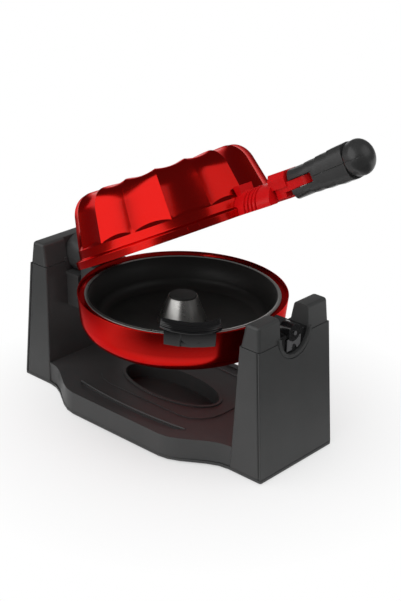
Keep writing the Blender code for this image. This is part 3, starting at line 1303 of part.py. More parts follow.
def rounded_half(half_width, half_height, sign):
    """Half of a rounded rectangle above or below the parting line, as (y, z) points."""
    points = []
    for i in range(GRIP_ARC_STEPS + 1):
        angle = pi * i / GRIP_ARC_STEPS
        y = half_width * abs(cos(angle)) ** GRIP_SIDE_POWER * (1 if cos(angle) >= 0 else -1)
        z = half_height * abs(sin(angle)) ** GRIP_TOP_POWER
        points.append((y, sign * (z + CLEARANCE / 2)))
    return points


def grip_half(name, sign):
    """Upper or lower shell of the grip, with a prong beside the tongue."""
    rings = []
    for distance, half_width, half_height in grip_sections():
        rings.append([(distance, y, z) for y, z in rounded_half(half_width, half_height, sign)])
    half = loft(name, rings)
    tall = GRIP_HALF_HEIGHT
    slot = box("slot", (-NOSE_LENGTH - OVERRUN, -GRIP_HALF_WIDTH - OVERRUN, -SLOT_HALF_HEIGHT),
               (SLOT_REACH, GRIP_HALF_WIDTH + OVERRUN, SLOT_HALF_HEIGHT))
    hole = cylinder("prong_hole", FOLD_PIN_RADIUS + CLEARANCE, (0, 0, 0),
                    (0, 0, sign * (FOLD_PIN_HALF_LENGTH + CLEARANCE)), SMALL_STEPS)
    cut(half, slot, hole)
    tools = [slot, hole]
    for i in range(2):
        x = GRIP_SCREW_X + GRIP_SCREW_PITCH * i
        if sign < 0:
            bore = cylinder("screw_bore", GRIP_SCREW_RADIUS + CLEARANCE,
                            (x, 0, -GRIP_SCREW_HEAD_HIGH), (x, 0, -tall * 2), SMALL_STEPS)
            tools.append(bore)
            cut(half, bore)
        far = -GRIP_SCREW_HEAD_HIGH - OVERRUN if sign < 0 else GRIP_SCREW_HEAD_HIGH
        shank = cylinder("shank_bore", SCREW_SHANK_RADIUS + CLEARANCE, (x, 0, -sign * OVERRUN),
                         (x, 0, far), SMALL_STEPS)
        tools.append(shank)
        cut(half, shank)
    finish_part(half, BLACK_PLASTIC)
    carry(GRIP_GUIDE, Vector(), half, *tools)


def grip_screws():
    """Two screws that draw the grip's halves together."""
    high = -GRIP_SCREW_HEAD_HIGH - CLEARANCE
    for number in (1, 2):
        x = GRIP_SCREW_X + GRIP_SCREW_PITCH * (number - 1)
        screw = cylinder(f"grip_screw_{number}", GRIP_SCREW_RADIUS,
                         (x, 0, high - GRIP_SCREW_HEIGHT), (x, 0, high), SCREW_STEPS)
        shank = cylinder("grip_shank", SCREW_SHANK_RADIUS, (x, 0, high - GRIP_SCREW_HEIGHT / 2),
                         (x, 0, GRIP_SCREW_HEAD_HIGH - CLEARANCE), SCREW_STEPS)
        join(screw, shank)
        finish_part(screw, STEEL)
        carry(GRIP_GUIDE, Vector(), screw, shank)


def grip_end_cap():
    """Ball at the end of the grip."""
    rings = []
    start = GRIP_LENGTH - BALL_LENGTH
    for i in range(BALL_STEPS + 1):
        share = i / BALL_STEPS
        swell = BALL_TIP_SHARE
        if share < 1:
            swell = sqrt(1 - (share - BALL_WIDEST_SHARE) ** 2 / BALL_FULLNESS)
        ring = []
        for j in range(BALL_SIDES):
            angle = 2 * pi * j / BALL_SIDES
            ring.append((start + BALL_LENGTH * share, BALL_HALF_WIDTH * swell * cos(angle),
                         BALL_HALF_HEIGHT * swell * sin(angle)))
        rings.append(ring)
    ball = loft("grip_end_cap", rings)
    finish_part(ball, BLACK_PLASTIC)
    carry(GRIP_GUIDE, Vector(), ball)


base_moulding()
bottom_plate()
base_screws()
rubber_feet()
side_cover("left_side_cover", -1)
side_cover("right_side_cover", 1)
tower_cap("left_tower_cap", -1)
tower_cap("right_tower_cap", 1)
bearing_block()
cord_gland()

lower_housing()
baking_pan()
heater("lower_heater", (HEAD_X, 0, AXIS_HEIGHT), -PAN_DEPTH - CLEARANCE - HEATER_RADIUS)
lower_reflector()
thermostat()
hinge_bracket()
hinge_pin()
left_journal()
right_journal()
journal_keeper()
journal_screw()
latch_saddle()
latch_pin()
latch_clip()

lid_heater = heater("lid_heater", (LID_X, 0, AXIS_HEIGHT), MOULD_DEPTH + CLEARANCE + HEATER_RADIUS)
carry(LID_GUIDE, HINGE, lid_shell(), lid_mould(), lid_heater, lid_reflector())
lid_knuckle()
catch_tab()
handle_neck()

fold_pin()
grip_half("grip_upper", 1)
grip_half("grip_lower", -1)
grip_screws()
grip_end_cap()

# The origin lies on the table under the middle of the whole outline
for piece in list(PARTS.objects) + list(CUTTERS.objects):
    if not piece.parent:
        piece.location.x -= ORIGIN_X
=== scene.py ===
"""Electric cake maker: red fluted lid held open over a red baking head, which turns
between the two towers of a dark grey tray stand. Metres, +Z up, in the CAD's own frame."""

import json
from math import atan2, cos, exp, hypot, pi, radians, sin, sqrt

import bpy
from mathutils import Matrix, Vector


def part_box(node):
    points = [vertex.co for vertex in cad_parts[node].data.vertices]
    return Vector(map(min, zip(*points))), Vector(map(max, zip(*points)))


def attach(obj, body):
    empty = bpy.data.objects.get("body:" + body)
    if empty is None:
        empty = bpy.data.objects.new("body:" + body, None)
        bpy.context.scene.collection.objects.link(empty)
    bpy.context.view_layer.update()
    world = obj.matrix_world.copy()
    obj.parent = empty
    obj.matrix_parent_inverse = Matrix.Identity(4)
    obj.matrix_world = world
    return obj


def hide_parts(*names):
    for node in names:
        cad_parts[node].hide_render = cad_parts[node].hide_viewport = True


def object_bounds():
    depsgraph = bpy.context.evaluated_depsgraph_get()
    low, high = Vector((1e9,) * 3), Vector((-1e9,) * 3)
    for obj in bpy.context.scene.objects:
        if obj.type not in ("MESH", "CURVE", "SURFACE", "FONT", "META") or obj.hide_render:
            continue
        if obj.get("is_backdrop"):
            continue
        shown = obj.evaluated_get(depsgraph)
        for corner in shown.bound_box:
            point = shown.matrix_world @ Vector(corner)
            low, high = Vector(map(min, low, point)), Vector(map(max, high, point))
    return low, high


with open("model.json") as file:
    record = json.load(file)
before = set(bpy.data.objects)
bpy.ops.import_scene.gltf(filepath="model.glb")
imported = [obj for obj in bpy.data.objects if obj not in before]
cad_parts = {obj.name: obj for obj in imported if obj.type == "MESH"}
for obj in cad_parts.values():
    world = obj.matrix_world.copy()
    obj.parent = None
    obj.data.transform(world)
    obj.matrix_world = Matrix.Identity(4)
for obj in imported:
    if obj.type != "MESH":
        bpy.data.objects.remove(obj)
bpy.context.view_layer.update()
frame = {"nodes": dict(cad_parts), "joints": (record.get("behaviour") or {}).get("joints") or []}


# The camera looks down over the right tower at the open lid,
# through a long lens, so that upright edges stay nearly parallel
bpy.ops.object.camera_add(location=(0.88384, -0.98642, 0.72601),
                          rotation=(radians(66.2194), radians(-1.2417), radians(42.2015)))
camera = bpy.context.object
camera.name = "camera"
camera.data.lens = 80.975
camera.data.sensor_width = 36.0
bpy.context.scene.camera = camera
bpy.context.scene.view_settings.view_transform = "Standard"


# The table is a pale round sheet that keeps the soft shadow
# and goes over to plain white away from the object
def node(tree, kind, **values):
    """Add a shader node, setting its own values by name and its inputs as at_NUMBER."""
    made = tree.nodes.new(kind)
    for key, value in values.items():
        if key.startswith("at_"):
            made.inputs[int(key[3:])].default_value = value
        else:
            setattr(made, key, value)
    return made


def wire(tree, *pairs):
    """Join output sockets to input sockets, pair by pair."""
    for source, target in pairs:
        tree.links.new(source, target)


bpy.ops.object.select_all(action="DESELECT")
bpy.ops.mesh.primitive_circle_add(vertices=96, radius=8.0, fill_type="NGON")
table = bpy.context.object
table.name = "table"
paper = bpy.data.materials.new("table_paper")
paper.use_nodes = True
tree = paper.node_tree
paper_shader = tree.nodes["Principled BSDF"]
paper_shader.inputs["Base Color"].default_value = (0.90, 0.90, 0.90, 1)
paper_shader.inputs["Roughness"].default_value = 0.7

# Towards the camera the sheet goes over to plain white with its distance from the middle
place = node(tree, "ShaderNodeNewGeometry")
reach = node(tree, "ShaderNodeVectorMath", operation="LENGTH")
fade = node(tree, "ShaderNodeMapRange", at_1=0.10, at_2=0.30, at_3=0.5)
ray = node(tree, "ShaderNodeLightPath")
seen = node(tree, "ShaderNodeMath", operation="MULTIPLY")
white = node(tree, "ShaderNodeEmission", at_1=1.0)
mix = node(tree, "ShaderNodeMixShader")
wire(tree, (place.outputs["Position"], reach.inputs[0]),
     (reach.outputs["Value"], fade.inputs[0]),
     (fade.outputs[0], seen.inputs[0]),
     (ray.outputs["Is Camera Ray"], seen.inputs[1]),
     (seen.outputs[0], mix.inputs[0]),
     (paper_shader.outputs[0], mix.inputs[1]),
     (white.outputs[0], mix.inputs[2]))

# In reflections its outer part is a glowing band of painted reflection, light at the left and beyond,
# dark at the right
edge = node(tree, "ShaderNodeMapRange", at_1=0.14, at_2=0.40)
# Emission seen only by glossy rays: a painted reflection for the lid and bowl
painted_reflection = node(tree, "ShaderNodeEmission")
sideways = node(tree, "ShaderNodeSeparateXYZ")
span = node(tree, "ShaderNodeMapRange", at_1=-0.60, at_2=0.40)
tone = node(tree, "ShaderNodeValToRGB")
for stop, (at, level) in enumerate(((0.15, 0.16), (0.40, 0.60), (0.52, 0.30), (0.66, 0.05))):
    mark = tone.color_ramp.elements[stop] if stop < 2 else tone.color_ramp.elements.new(at)
    mark.position = at
    mark.color = (level, level, level, 1)
behind = node(tree, "ShaderNodeVectorMath", operation="DOT_PRODUCT", at_1=(-0.30, 0.95, 0))
far_side = node(tree, "ShaderNodeMapRange", at_1=0.15, at_2=0.40, at_3=0.0, at_4=0.8)
lighter = node(tree, "ShaderNodeMath", operation="MAXIMUM")
wire(tree, (place.outputs["Position"], sideways.inputs[0]),
     (sideways.outputs["X"], span.inputs[0]),
     (span.outputs[0], tone.inputs[0]),
     (place.outputs["Position"], behind.inputs[0]),
     (behind.outputs["Value"], far_side.inputs[0]),
     (tone.outputs[0], lighter.inputs[0]),
     (far_side.outputs[0], lighter.inputs[1]),
     (lighter.outputs[0], painted_reflection.inputs["Strength"]))
beyond = node(tree, "ShaderNodeMath", operation="MULTIPLY")
covered = node(tree, "ShaderNodeMixShader")
wire(tree, (reach.outputs["Value"], edge.inputs[0]),
     (edge.outputs[0], beyond.inputs[0]),
     (ray.outputs["Is Glossy Ray"], beyond.inputs[1]),
     (beyond.outputs[0], covered.inputs[0]),
     (mix.outputs[0], covered.inputs[1]),
     (painted_reflection.outputs[0], covered.inputs[2]),
     (covered.outputs[0], tree.nodes["Material Output"].inputs["Surface"]))
table.data.materials.append(paper)
table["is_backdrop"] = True


# A dim tent surrounds the table, white to the eye, with a long low soft box
# along the front left, one behind on the right, and a broad one overhead
world = bpy.data.worlds.new("tent")
bpy.context.scene.world = world
world.use_nodes = True
tree = world.node_tree
tree.nodes.clear()
ray = node(tree, "ShaderNodeLightPath")
fill = node(tree, "ShaderNodeBackground", at_0=(1, 1, 1, 1), at_1=0.40)
tent = node(tree, "ShaderNodeBackground", at_0=(1, 1, 1, 1))
way = node(tree, "ShaderNodeTexCoord")
behind = node(tree, "ShaderNodeVectorMath", operation="DOT_PRODUCT", at_1=(-0.64, 0.71, -0.29))
glow = node(tree, "ShaderNodeMapRange", at_1=0.78, at_2=0.96, at_3=0.09, at_4=0.80)
wire(tree, (way.outputs["Generated"], behind.inputs[0]),
     (behind.outputs["Value"], glow.inputs[0]),
     (glow.outputs[0], tent.inputs[1]))
sky = node(tree, "ShaderNodeBackground", at_0=(1, 1, 1, 1), at_1=1.0)
mirrored = node(tree, "ShaderNodeMixShader")
mix = node(tree, "ShaderNodeMixShader")
out = node(tree, "ShaderNodeOutputWorld")
wire(tree, (ray.outputs["Is Glossy Ray"], mirrored.inputs[0]),
     (fill.outputs[0], mirrored.inputs[1]),
     (tent.outputs[0], mirrored.inputs[2]),
     (ray.outputs["Is Camera Ray"], mix.inputs[0]),
     (mirrored.outputs[0], mix.inputs[1]),
     (sky.outputs[0], mix.inputs[2]),
     (mix.outputs[0], out.inputs["Surface"]))


def soft_box(name, place, aim, size, watts, mirrored=True):
    """Add an oblong lamp that faces a point, and say whether reflections show it."""
    bpy.ops.object.light_add(type="AREA", location=place)
    lamp = bpy.context.object
    lamp.name = name
    lamp.rotation_euler = (Vector(aim) - Vector(place)).to_track_quat("-Z", "Y").to_euler()
    lamp.data.shape = "RECTANGLE"
    lamp.data.size, lamp.data.size_y = size
    lamp.data.energy = watts
    lamp.visible_glossy = mirrored


soft_box("front_box", (-0.60, -1.60, 1.02), (-0.1, 0, 0.2), (2.75, 2.1), 18)
soft_box("rear_box", (1.03, 0.46, 1.24), (0.1, 0, 0.25), (1.2, 0.9), 2.2)
soft_box("top_box", (0.3, -0.3, 1.7), (0, 0, 0), (1.4, 1.4), 11, mirrored=False)


# The stand is injection moulded in a dark grey plastic with a fine spark finish:
# tray and towers in one, with screwed-on outer panels and snapped-on caps
def pick(piece):
    """Make this piece the only one selected."""
    bpy.ops.object.select_all(action="DESELECT")
    piece.select_set(True)
    bpy.context.view_layer.objects.active = piece


def settle(piece, body, slot, finish, *nodes):
    """Give a finished piece its material and its body, and hide the nodes that it stands for; slot is
    not used.
    """
    if finish:
        piece.data.materials.clear()
        piece.data.materials.append(finish)
    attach(piece, body)
    if nodes:
        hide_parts(*nodes)


def rounded_copy(name, source, radius, steps=2, sharp=30):
    """Merge a copy of a CAD node's triangles into whole faces and round its edges."""
    piece = bpy.data.objects.new(name, frame["nodes"][source].data.copy())
    bpy.context.collection.objects.link(piece)
    pick(piece)
    bpy.ops.mesh.customdata_custom_splitnormals_clear()
    bpy.ops.object.mode_set(mode="EDIT")
    bpy.ops.mesh.select_all(action="SELECT")
    bpy.ops.mesh.remove_doubles(threshold=0.00001)
    bpy.ops.mesh.dissolve_limited(angle_limit=radians(0.5))
    bpy.ops.mesh.select_all(action="SELECT")
    bpy.ops.mesh.dissolve_degenerate(threshold=0.00015)
    bpy.ops.object.mode_set(mode="OBJECT")
    rounding = piece.modifiers.new("rounding", "BEVEL")
    rounding.width = radius
    rounding.segments = steps
    rounding.limit_method = "ANGLE"
    rounding.angle_limit = radians(sharp)
    bpy.ops.object.modifier_apply(modifier="rounding")
    bpy.ops.object.shade_smooth_by_angle(angle=radians(sharp))
    piece.modifiers.new("flat_faces", "WEIGHTED_NORMAL").keep_sharp = True
    bpy.ops.object.modifier_apply(modifier="flat_faces")
    return piece


def bumped(tree, shader, scale, depth, detail=2.0):
    """Fine relief of that many grains to the metre, on Object coordinates."""
    where = node(tree, "ShaderNodeTexCoord")
    grain = node(tree, "ShaderNodeTexNoise")
    grain.inputs["Scale"].default_value = scale
    grain.inputs["Detail"].default_value = detail
    relief = node(tree, "ShaderNodeBump")
    relief.inputs["Strength"].default_value = 1.0
    relief.inputs["Distance"].default_value = depth
    wire(tree, (where.outputs["Object"], grain.inputs["Vector"]),
         (grain.outputs["Fac"], relief.inputs["Height"]),
         (relief.outputs["Normal"], shader.inputs["Normal"]))
    return where


def mottled(tree, shader, where, scale, socket, low, high):
    """Let a socket drift between two values in soft patches."""
    cloud = node(tree, "ShaderNodeTexNoise")
    cloud.inputs["Scale"].default_value = scale
    cloud.inputs["Detail"].default_value = 4.0
    tree.links.new(where.outputs["Object"], cloud.inputs["Vector"])
    if isinstance(low, tuple):
        span = node(tree, "ShaderNodeMix", data_type="RGBA")
        span.inputs[6].default_value = (*low, 1)
        span.inputs[7].default_value = (*high, 1)
        wire(tree, (cloud.outputs["Fac"], span.inputs[0]),
             (span.outputs[2], shader.inputs[socket]))
    else:
        span = node(tree, "ShaderNodeMapRange", at_1=0.3, at_2=0.7, at_3=low, at_4=high)
        wire(tree, (cloud.outputs["Fac"], span.inputs[0]),
             (span.outputs[0], shader.inputs[socket]))


def finish(name, metallic=0.0, coat=0.0, coat_roughness=0.05, specular=0.5):
    """Start a material, and return it with its node tree and its shader."""
    made = bpy.data.materials.new(name)
    made.use_nodes = True
    shader = made.node_tree.nodes["Principled BSDF"]
    shader.inputs["Metallic"].default_value = metallic
    shader.inputs["Coat Weight"].default_value = coat
    shader.inputs["Coat Roughness"].default_value = coat_roughness
    shader.inputs["Specular IOR Level"].default_value = specular
    return made, made.node_tree, shader


def dress(finish, *sources):
    """Give CAD nodes whose shape is right the finish of the real piece."""
    for source in sources:
        materials = frame["nodes"][source].data.materials
        materials.clear()
        materials.append(finish)


grey_plastic, tree, shader = finish("spark_finished_grey_plastic")
where = bumped(tree, shader, 2600, 0.00003)
mottled(tree, shader, where, 60, "Base Color", (0.039, 0.040, 0.040), (0.049, 0.050, 0.050))
mottled(tree, shader, where, 35, "Roughness", 0.32, 0.40)

for name, source, radius in (("stand_tray", "base_moulding", 0.0006),
                             ("stand_plate", "bottom_plate", 0.0005),
                             ("left_panel", "left_side_cover", 0.0004),
                             ("right_panel", "right_side_cover", 0.0004),
                             ("left_cap", "left_tower_cap", 0.0005),
                             ("right_cap", "right_tower_cap", 0.0005),
                             ("left_bearing", "left_bearing_block", 0.0005)):
    settle(rounded_copy(name, source, radius), "stand", "dark_plastic", grey_plastic, source)


# Four soft rubber feet and four zinc screws close the underside,
# and a gloss black bush waits for the supply at the rear of the left tower
rubber, tree, shader = finish("foot_rubber", specular=0.3)
where = bumped(tree, shader, 900, 0.00005)
mottled(tree, shader, where, 80, "Base Color", (0.016, 0.016, 0.016), (0.026, 0.026, 0.025))
mottled(tree, shader, where, 80, "Roughness", 0.75, 0.9)

zinc, tree, shader = finish("zinc_plated_steel", metallic=1.0)
where = bumped(tree, shader, 1200, 0.00001)
mottled(tree, shader, where, 300, "Base Color", (0.34, 0.34, 0.35), (0.44, 0.44, 0.45))
mottled(tree, shader, where, 200, "Roughness", 0.24, 0.36)

gloss_black, tree, shader = finish("gloss_black_plastic", coat=0.5, coat_roughness=0.06)
where = bumped(tree, shader, 320, 0.00002)
mottled(tree, shader, where, 90, "Base Color", (0.004, 0.004, 0.0045), (0.007, 0.007, 0.0075))
mottled(tree, shader, where, 60, "Roughness", 0.14, 0.20)

dress(rubber, "rubber_foot_1", "rubber_foot_2", "rubber_foot_3", "rubber_foot_4")
dress(zinc, "base_screw_1", "base_screw_2", "base_screw_3", "base_screw_4")
settle(rounded_copy("supply_bush", "cord_gland", 0.0004), "stand", "black_plastic", gloss_black,
       "cord_gland")


# The bowl is drawn from sheet, with a rolled rim and a ledge inside for the pan, and is
# sprayed, like the lid, with a red metallic paint under a hard clear lacquer
red_paint, tree, shader = finish("red_metallic_paint", metallic=1.0, coat=0.15, coat_roughness=0.04)
where = bumped(tree, shader, 450, 0.00001)
mottled(tree, shader, where, 5200, "Base Color", (0.70, 0.008, 0.006), (0.86, 0.016, 0.011))
mottled(tree, shader, where, 3000, "Roughness", 0.18, 0.24)
shader.inputs["Specular Tint"].default_value = (1.0, 0.20, 0.18, 1)


def turn_profile(name, points, centre, steps):
    """Spin a chain of (radius, height) points once round an upright axis through centre."""
    mesh = bpy.data.meshes.new(name)
    chain = [(centre[0] + r, centre[1], centre[2] + h) for r, h in points]
    mesh.from_pydata(chain, [(i, i + 1) for i in range(len(chain) - 1)], [])
    piece = bpy.data.objects.new(name, mesh)
    bpy.context.collection.objects.link(piece)
    pick(piece)
    bpy.ops.object.mode_set(mode="EDIT")
    bpy.ops.mesh.select_all(action="SELECT")
    bpy.ops.mesh.spin(steps=steps, angle=2 * pi, center=centre, axis=(0, 0, 1))
    bpy.ops.mesh.select_all(action="SELECT")
    bpy.ops.mesh.remove_doubles(threshold=0.00001)
    bpy.ops.mesh.normals_make_consistent(inside=False)
    bpy.ops.object.mode_set(mode="OBJECT")
    return piece


def sweep(centre, radius_u, radius_v, start, end, steps):
    """Points along an elliptical arc between two angles in degrees."""
    return [(centre[0] + radius_u * cos(radians(start + (end - start) * i / steps)),
             centre[1] + radius_v * sin(radians(start + (end - start) * i / steps)))
            for i in range(steps + 1)]


def smooth_faces(piece, sharp):
    """Shade a piece smooth, apart from edges sharper than an angle."""
    pick(piece)
    bpy.ops.object.shade_smooth_by_angle(angle=radians(sharp))


def soften(piece, radius, steps, sharp):
    """Round every edge of a new piece that is sharper than an angle."""
    rounding = piece.modifiers.new("rounding", "BEVEL")
    rounding.width = radius
    rounding.segments = steps
    rounding.limit_method = "ANGLE"
    rounding.angle_limit = radians(sharp)
    pick(piece)
    bpy.ops.object.modifier_apply(modifier="rounding")


def flatten_shading(piece):
    """Let broad faces keep their own shading beside narrow rounded edges."""
    piece.modifiers.new("flat_faces", "WEIGHTED_NORMAL").keep_sharp = True
    pick(piece)
    bpy.ops.object.modifier_apply(modifier="flat_faces")


spin, lift, _, fold = (joint["pos_m"] for joint in frame["joints"])
low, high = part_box("lower_housing")
axis_height, head_x, rim_radius = spin[2], (low.x + high.x) / 2, (high.y - low.y) / 2
head = Vector((head_x, 0, axis_height))
wall = 0.002
bowl_depth, bowl_wall_height, bowl_draft, bowl_floor_radius = 0.050, 0.024, 0.0025, 0.086
ledge_drop, ledge_radius, ledge_thickness = 0.0042, 0.1036, 0.0020


def bowl_side(inset):
    """Side of the bowl from rim to floor, moved in by inset."""
    floor = (bowl_floor_radius, -bowl_wall_height)
    return [(rim_radius - inset, 0)] + sweep(
        floor, rim_radius - bowl_draft - bowl_floor_radius - inset,
        bowl_depth - bowl_wall_height - inset, 0, -90, 20) + [(0, -bowl_depth + inset)]


outside, inside = bowl_side(0), bowl_side(wall)
lip = 0.0016
bowl_profile = (inside[:0:-1] + [(inside[0][0], -ledge_drop - ledge_thickness),
                                 (ledge_radius, -ledge_drop - ledge_thickness),
                                 (ledge_radius, -ledge_drop),
                                 (rim_radius - lip * 1.7, -ledge_drop),
                                 (rim_radius - lip, -lip / 2),
                                 (rim_radius - lip * 0.7, 0)]
                + sweep((rim_radius - lip / 3, -lip / 3), lip / 3, lip / 3, 90, 0, 4) + outside[1:])
bowl = turn_profile("red_bowl", bowl_profile, head, 144)
smooth_faces(bowl, 40)
settle(bowl, "head", "red_metal", red_paint, "lower_housing")


# The pan drops into the bowl: pressed aluminium with a rolled bright lip,
# and a dark non-stick coat inside, over the cone that shapes the ring
coating, tree, shader = finish("dark_non_stick_coat", metallic=0.2)
where = bumped(tree, shader, 1500, 0.00003)
mottled(tree, shader, where, 2200, "Base Color", (0.020, 0.019, 0.018), (0.045, 0.043, 0.041))
mottled(tree, shader, where, 40, "Roughness", 0.36, 0.48)

bare_metal, tree, shader = finish("rolled_aluminium", metallic=1.0)
where = bumped(tree, shader, 1800, 0.00001)
mottled(tree, shader, where, 150, "Base Color", (0.58, 0.57, 0.55), (0.70, 0.69, 0.67))
mottled(tree, shader, where, 90, "Roughness", 0.26, 0.36)

pan_radius, pan_lip, pan_wall, pan_depth = 0.1030, 0.0034, 0.0015, 0.0365
pan_draft, pan_corner = 0.008, 0.014
cone_foot, cone_tip, cone_gap = 0.028, 0.016, 0.0050
seat = -ledge_drop + 0.0003


def pan_side(inset):
    """Pan from its wall to the middle of its cone, moved in by inset."""
    foot = pan_radius - pan_draft
    corner = sweep((foot - pan_corner, -pan_depth + pan_corner), pan_corner - inset,
                   pan_corner - inset, 0, -90, 10)
    cone = [(cone_foot - inset, -pan_depth + inset), (cone_tip - inset, -cone_gap - pan_wall + inset),
            (0, -cone_gap - pan_wall + inset)]
    return corner + cone


lip_round = sweep((pan_radius + pan_lip - pan_wall / 2, seat + pan_wall / 2), pan_wall / 2,
                  pan_wall / 2, 90, -90, 6)
pan_profile = (pan_side(pan_wall)[::-1] + [(pan_radius - pan_wall, seat + pan_wall * 0.6),
                                           (pan_radius - pan_wall * 0.4, seat + pan_wall)]
               + lip_round + [(pan_radius, seat)] + pan_side(0))
pan = turn_profile("ring_pan", pan_profile, head, 128)
smooth_faces(pan, 40)
pan.data.materials.append(bare_metal)
pan.data.materials.append(coating)
for face in pan.data.polygons:
    out = hypot(face.center.x - head_x, face.center.y)
    inner = face.normal.z > 0.02 and out < pan_radius - pan_wall * 0.7
    face.material_index = 1 if inner else 0
settle(pan, "head", "pan_metal", None, "baking_pan")


# Hidden inside are sheathed steel heating rods over bright aluminium reflectors,
# and a thermostat; plain zinc-plated pins and screws hold the moving pieces
dress(zinc, "lower_heater", "lid_heater", "pan_thermostat", "hinge_pin", "journal_screw",
      "latch_pin", "fold_pin", "grip_screw_1", "grip_screw_2")
dress(bare_metal, "lower_reflector", "lid_reflector")


# The head turns on a hollow plastic shaft at the left and, at the right, on a half
# shaft whose end carries a forked plate; a moulded bracket at the left holds the hinge
for name, source, radius in (("hinge_mount", "hinge_bracket", 0.0006),
                             ("left_shaft", "left_journal", 0.0006)):
    settle(rounded_copy(name, source, radius), "head", "dark_plastic", grey_plastic, source)
for name, source, radius in (("half_shaft", "right_journal", 0.0005),
                             ("latch_mount", "latch_saddle", 0.0004)):
    settle(rounded_copy(name, source, radius), "head", "black_plastic", gloss_black, source)
settle(rounded_copy("shaft_fork", "journal_keeper", 0.0002), "head", "steel", zinc,
       "journal_keeper")


# The latch is one gloss black moulding: a dished thumb plate with raised ridges, whose
# hook reaches over the lid's flange, on a stepped front that hides its pin and lugs
latch_angle, latch_span = radians(-43.5), radians(14.5)

# Sections of plate and front, in radii from the head's middle and heights above its rim
hook_radius, hook_low, hook_high, lip_radius, lip_high, lip_low = (
    0.1175, 0.0130, 0.0154, 0.1303, 0.0098, 0.0072)
latch_inner, front_radius, foot_radius, front_low, room_radius, room_high = (
    0.1192, 0.1268, 0.1256, -0.0088, 0.1244, 0.0012)
ridge_places, ridge_high, ridge_width, dish_depth = (0.34, 0.55, 0.76), 0.0008, 0.045, 0.0015
edge_round, top_steps = 0.0012, 40

# How the plate's ends are drawn in, lifted and curled, and how the front is stepped,
# with each place along the arc as a share of the half span
end_draw, end_lift, corner_start, corner_curl = 0.5, 0.0045, 0.5, 0.0026
panel_edge, panel_step_end, panel_share = -0.32, -0.24, -0.31
middle_step, right_step, right_share, right_draw = 0.0011, 0.0004, 0.3, 0.92
front_share = 0.86

# Block behind the front that swings on the pin
knuckle_radius, knuckle_depth, knuckle_width = 0.1216, 0.0062, 0.0216
knuckle_drop, knuckle_height = 0.0019, 0.0078


def spun_bar(name, section, span, steps):
    """Spin a closed (radius, height) section along the latch's arc and close its ends."""
    start = latch_angle - span
    chain = [(head_x + r * cos(start), r * sin(start), axis_height + h) for r, h in section]
    mesh = bpy.data.meshes.new(name)
    mesh.from_pydata(chain, [(i, (i + 1) % len(chain)) for i in range(len(chain))], [])
    piece = bpy.data.objects.new(name, mesh)
    bpy.context.collection.objects.link(piece)
    pick(piece)
    bpy.ops.object.mode_set(mode="EDIT")
    bpy.ops.mesh.select_all(action="SELECT")
    bpy.ops.mesh.spin(steps=steps, angle=-2 * span, center=head, axis=(0, 0, 1))
    bpy.ops.mesh.select_all(action="SELECT")
    bpy.ops.mesh.fill_holes(sides=0)
    bpy.ops.mesh.normals_make_consistent(inside=False)
    bpy.ops.object.mode_set(mode="OBJECT")
    return piece


def bend_bar(piece, span, shape):
    """Move each point of a bar to the radius, share of the span and height that shape gives."""
    for vert in piece.data.vertices:
        out = Vector((vert.co.x - head_x, vert.co.y))
        share = (atan2(out.y, out.x) - latch_angle) / span
        radius, share, height = shape(out.length, share, vert.co.z - axis_height)
        angle = latch_angle + share * span
        vert.co = (head_x + radius * cos(angle), radius * sin(angle), axis_height + height)


def plate_shape(radius, share, height):
    """Draw the plate's ends in, lift its left end and curl its right rear corner up."""
    if radius > latch_inner:
        radius -= end_draw * share ** 4 * (radius - latch_inner)
    across = min(1, max(0, (radius - hook_radius) / (lip_radius - hook_radius)))
    if height > lip_low + 0.0004:
        curled = max(0, (share - corner_start) / corner_start)
        height += corner_curl * curled ** 2 * (1 - across)
    return radius, share, height + end_lift * max(0, -share)


def front_shape(radius, share, height):
    """Set the middle and right of the front back behind its flat left panel."""
    if radius > room_radius + 0.0006 and share > panel_edge:
        radius -= middle_step if share < right_share else right_step
    if panel_edge < share < panel_step_end:
        share = panel_share
    height += end_lift * max(0, -share) * front_share
    return radius, share * (right_draw if share > 0 else 1), height


top_side = []
for i in range(top_steps + 1):
    across = i / top_steps
    ridges = sum(ridge_high * exp(-((across - at) / ridge_width) ** 2) for at in ridge_places)
    top_side.append((hook_radius + (lip_radius - edge_round / 2 - hook_radius) * across,
                     hook_high + (lip_high - hook_high) * across
                     - dish_depth * sin(pi * across) + ridges))
plate = spun_bar("latch_plate", [(latch_inner, lip_low), (latch_inner, hook_low),
                                 (hook_radius, hook_low)] + top_side
                 + sweep((lip_radius - edge_round, lip_high - edge_round), edge_round, edge_round,
                         60, -60, 6)
                 + [(front_radius, lip_low)], latch_span, 32)
bend_bar(plate, latch_span, plate_shape)
front = spun_bar("latch_front", [(latch_inner, lip_low + 0.0008), (front_radius, lip_low + 0.0008),
                                 (front_radius, lip_low - 0.0012), (foot_radius, front_low),
                                 (room_radius, front_low), (room_radius, room_high),
                                 (latch_inner, room_high)], latch_span * front_share, 24)
bend_bar(front, latch_span, front_shape)
bpy.ops.mesh.primitive_cube_add(size=1, location=(0, 0, 0))
knuckle = bpy.context.object
for vert in knuckle.data.vertices:
    radius, aside = knuckle_radius + vert.co.x * knuckle_depth, vert.co.y * knuckle_width
    out = Vector((cos(latch_angle), sin(latch_angle)))
    vert.co = (head_x + out.x * radius - out.y * aside, out.y * radius + out.x * aside,
               axis_height - knuckle_drop + vert.co.z * knuckle_height)
for piece in (plate, front, knuckle):
    soften(piece, 0.0004, 2, 40)
bpy.ops.object.select_all(action="DESELECT")
for piece in (front, knuckle, plate):
    piece.select_set(True)
bpy.context.view_layer.objects.active = plate
bpy.ops.object.join()
smooth_faces(plate, 30)
settle(plate, "latch", "black_plastic", gloss_black, "latch_clip")


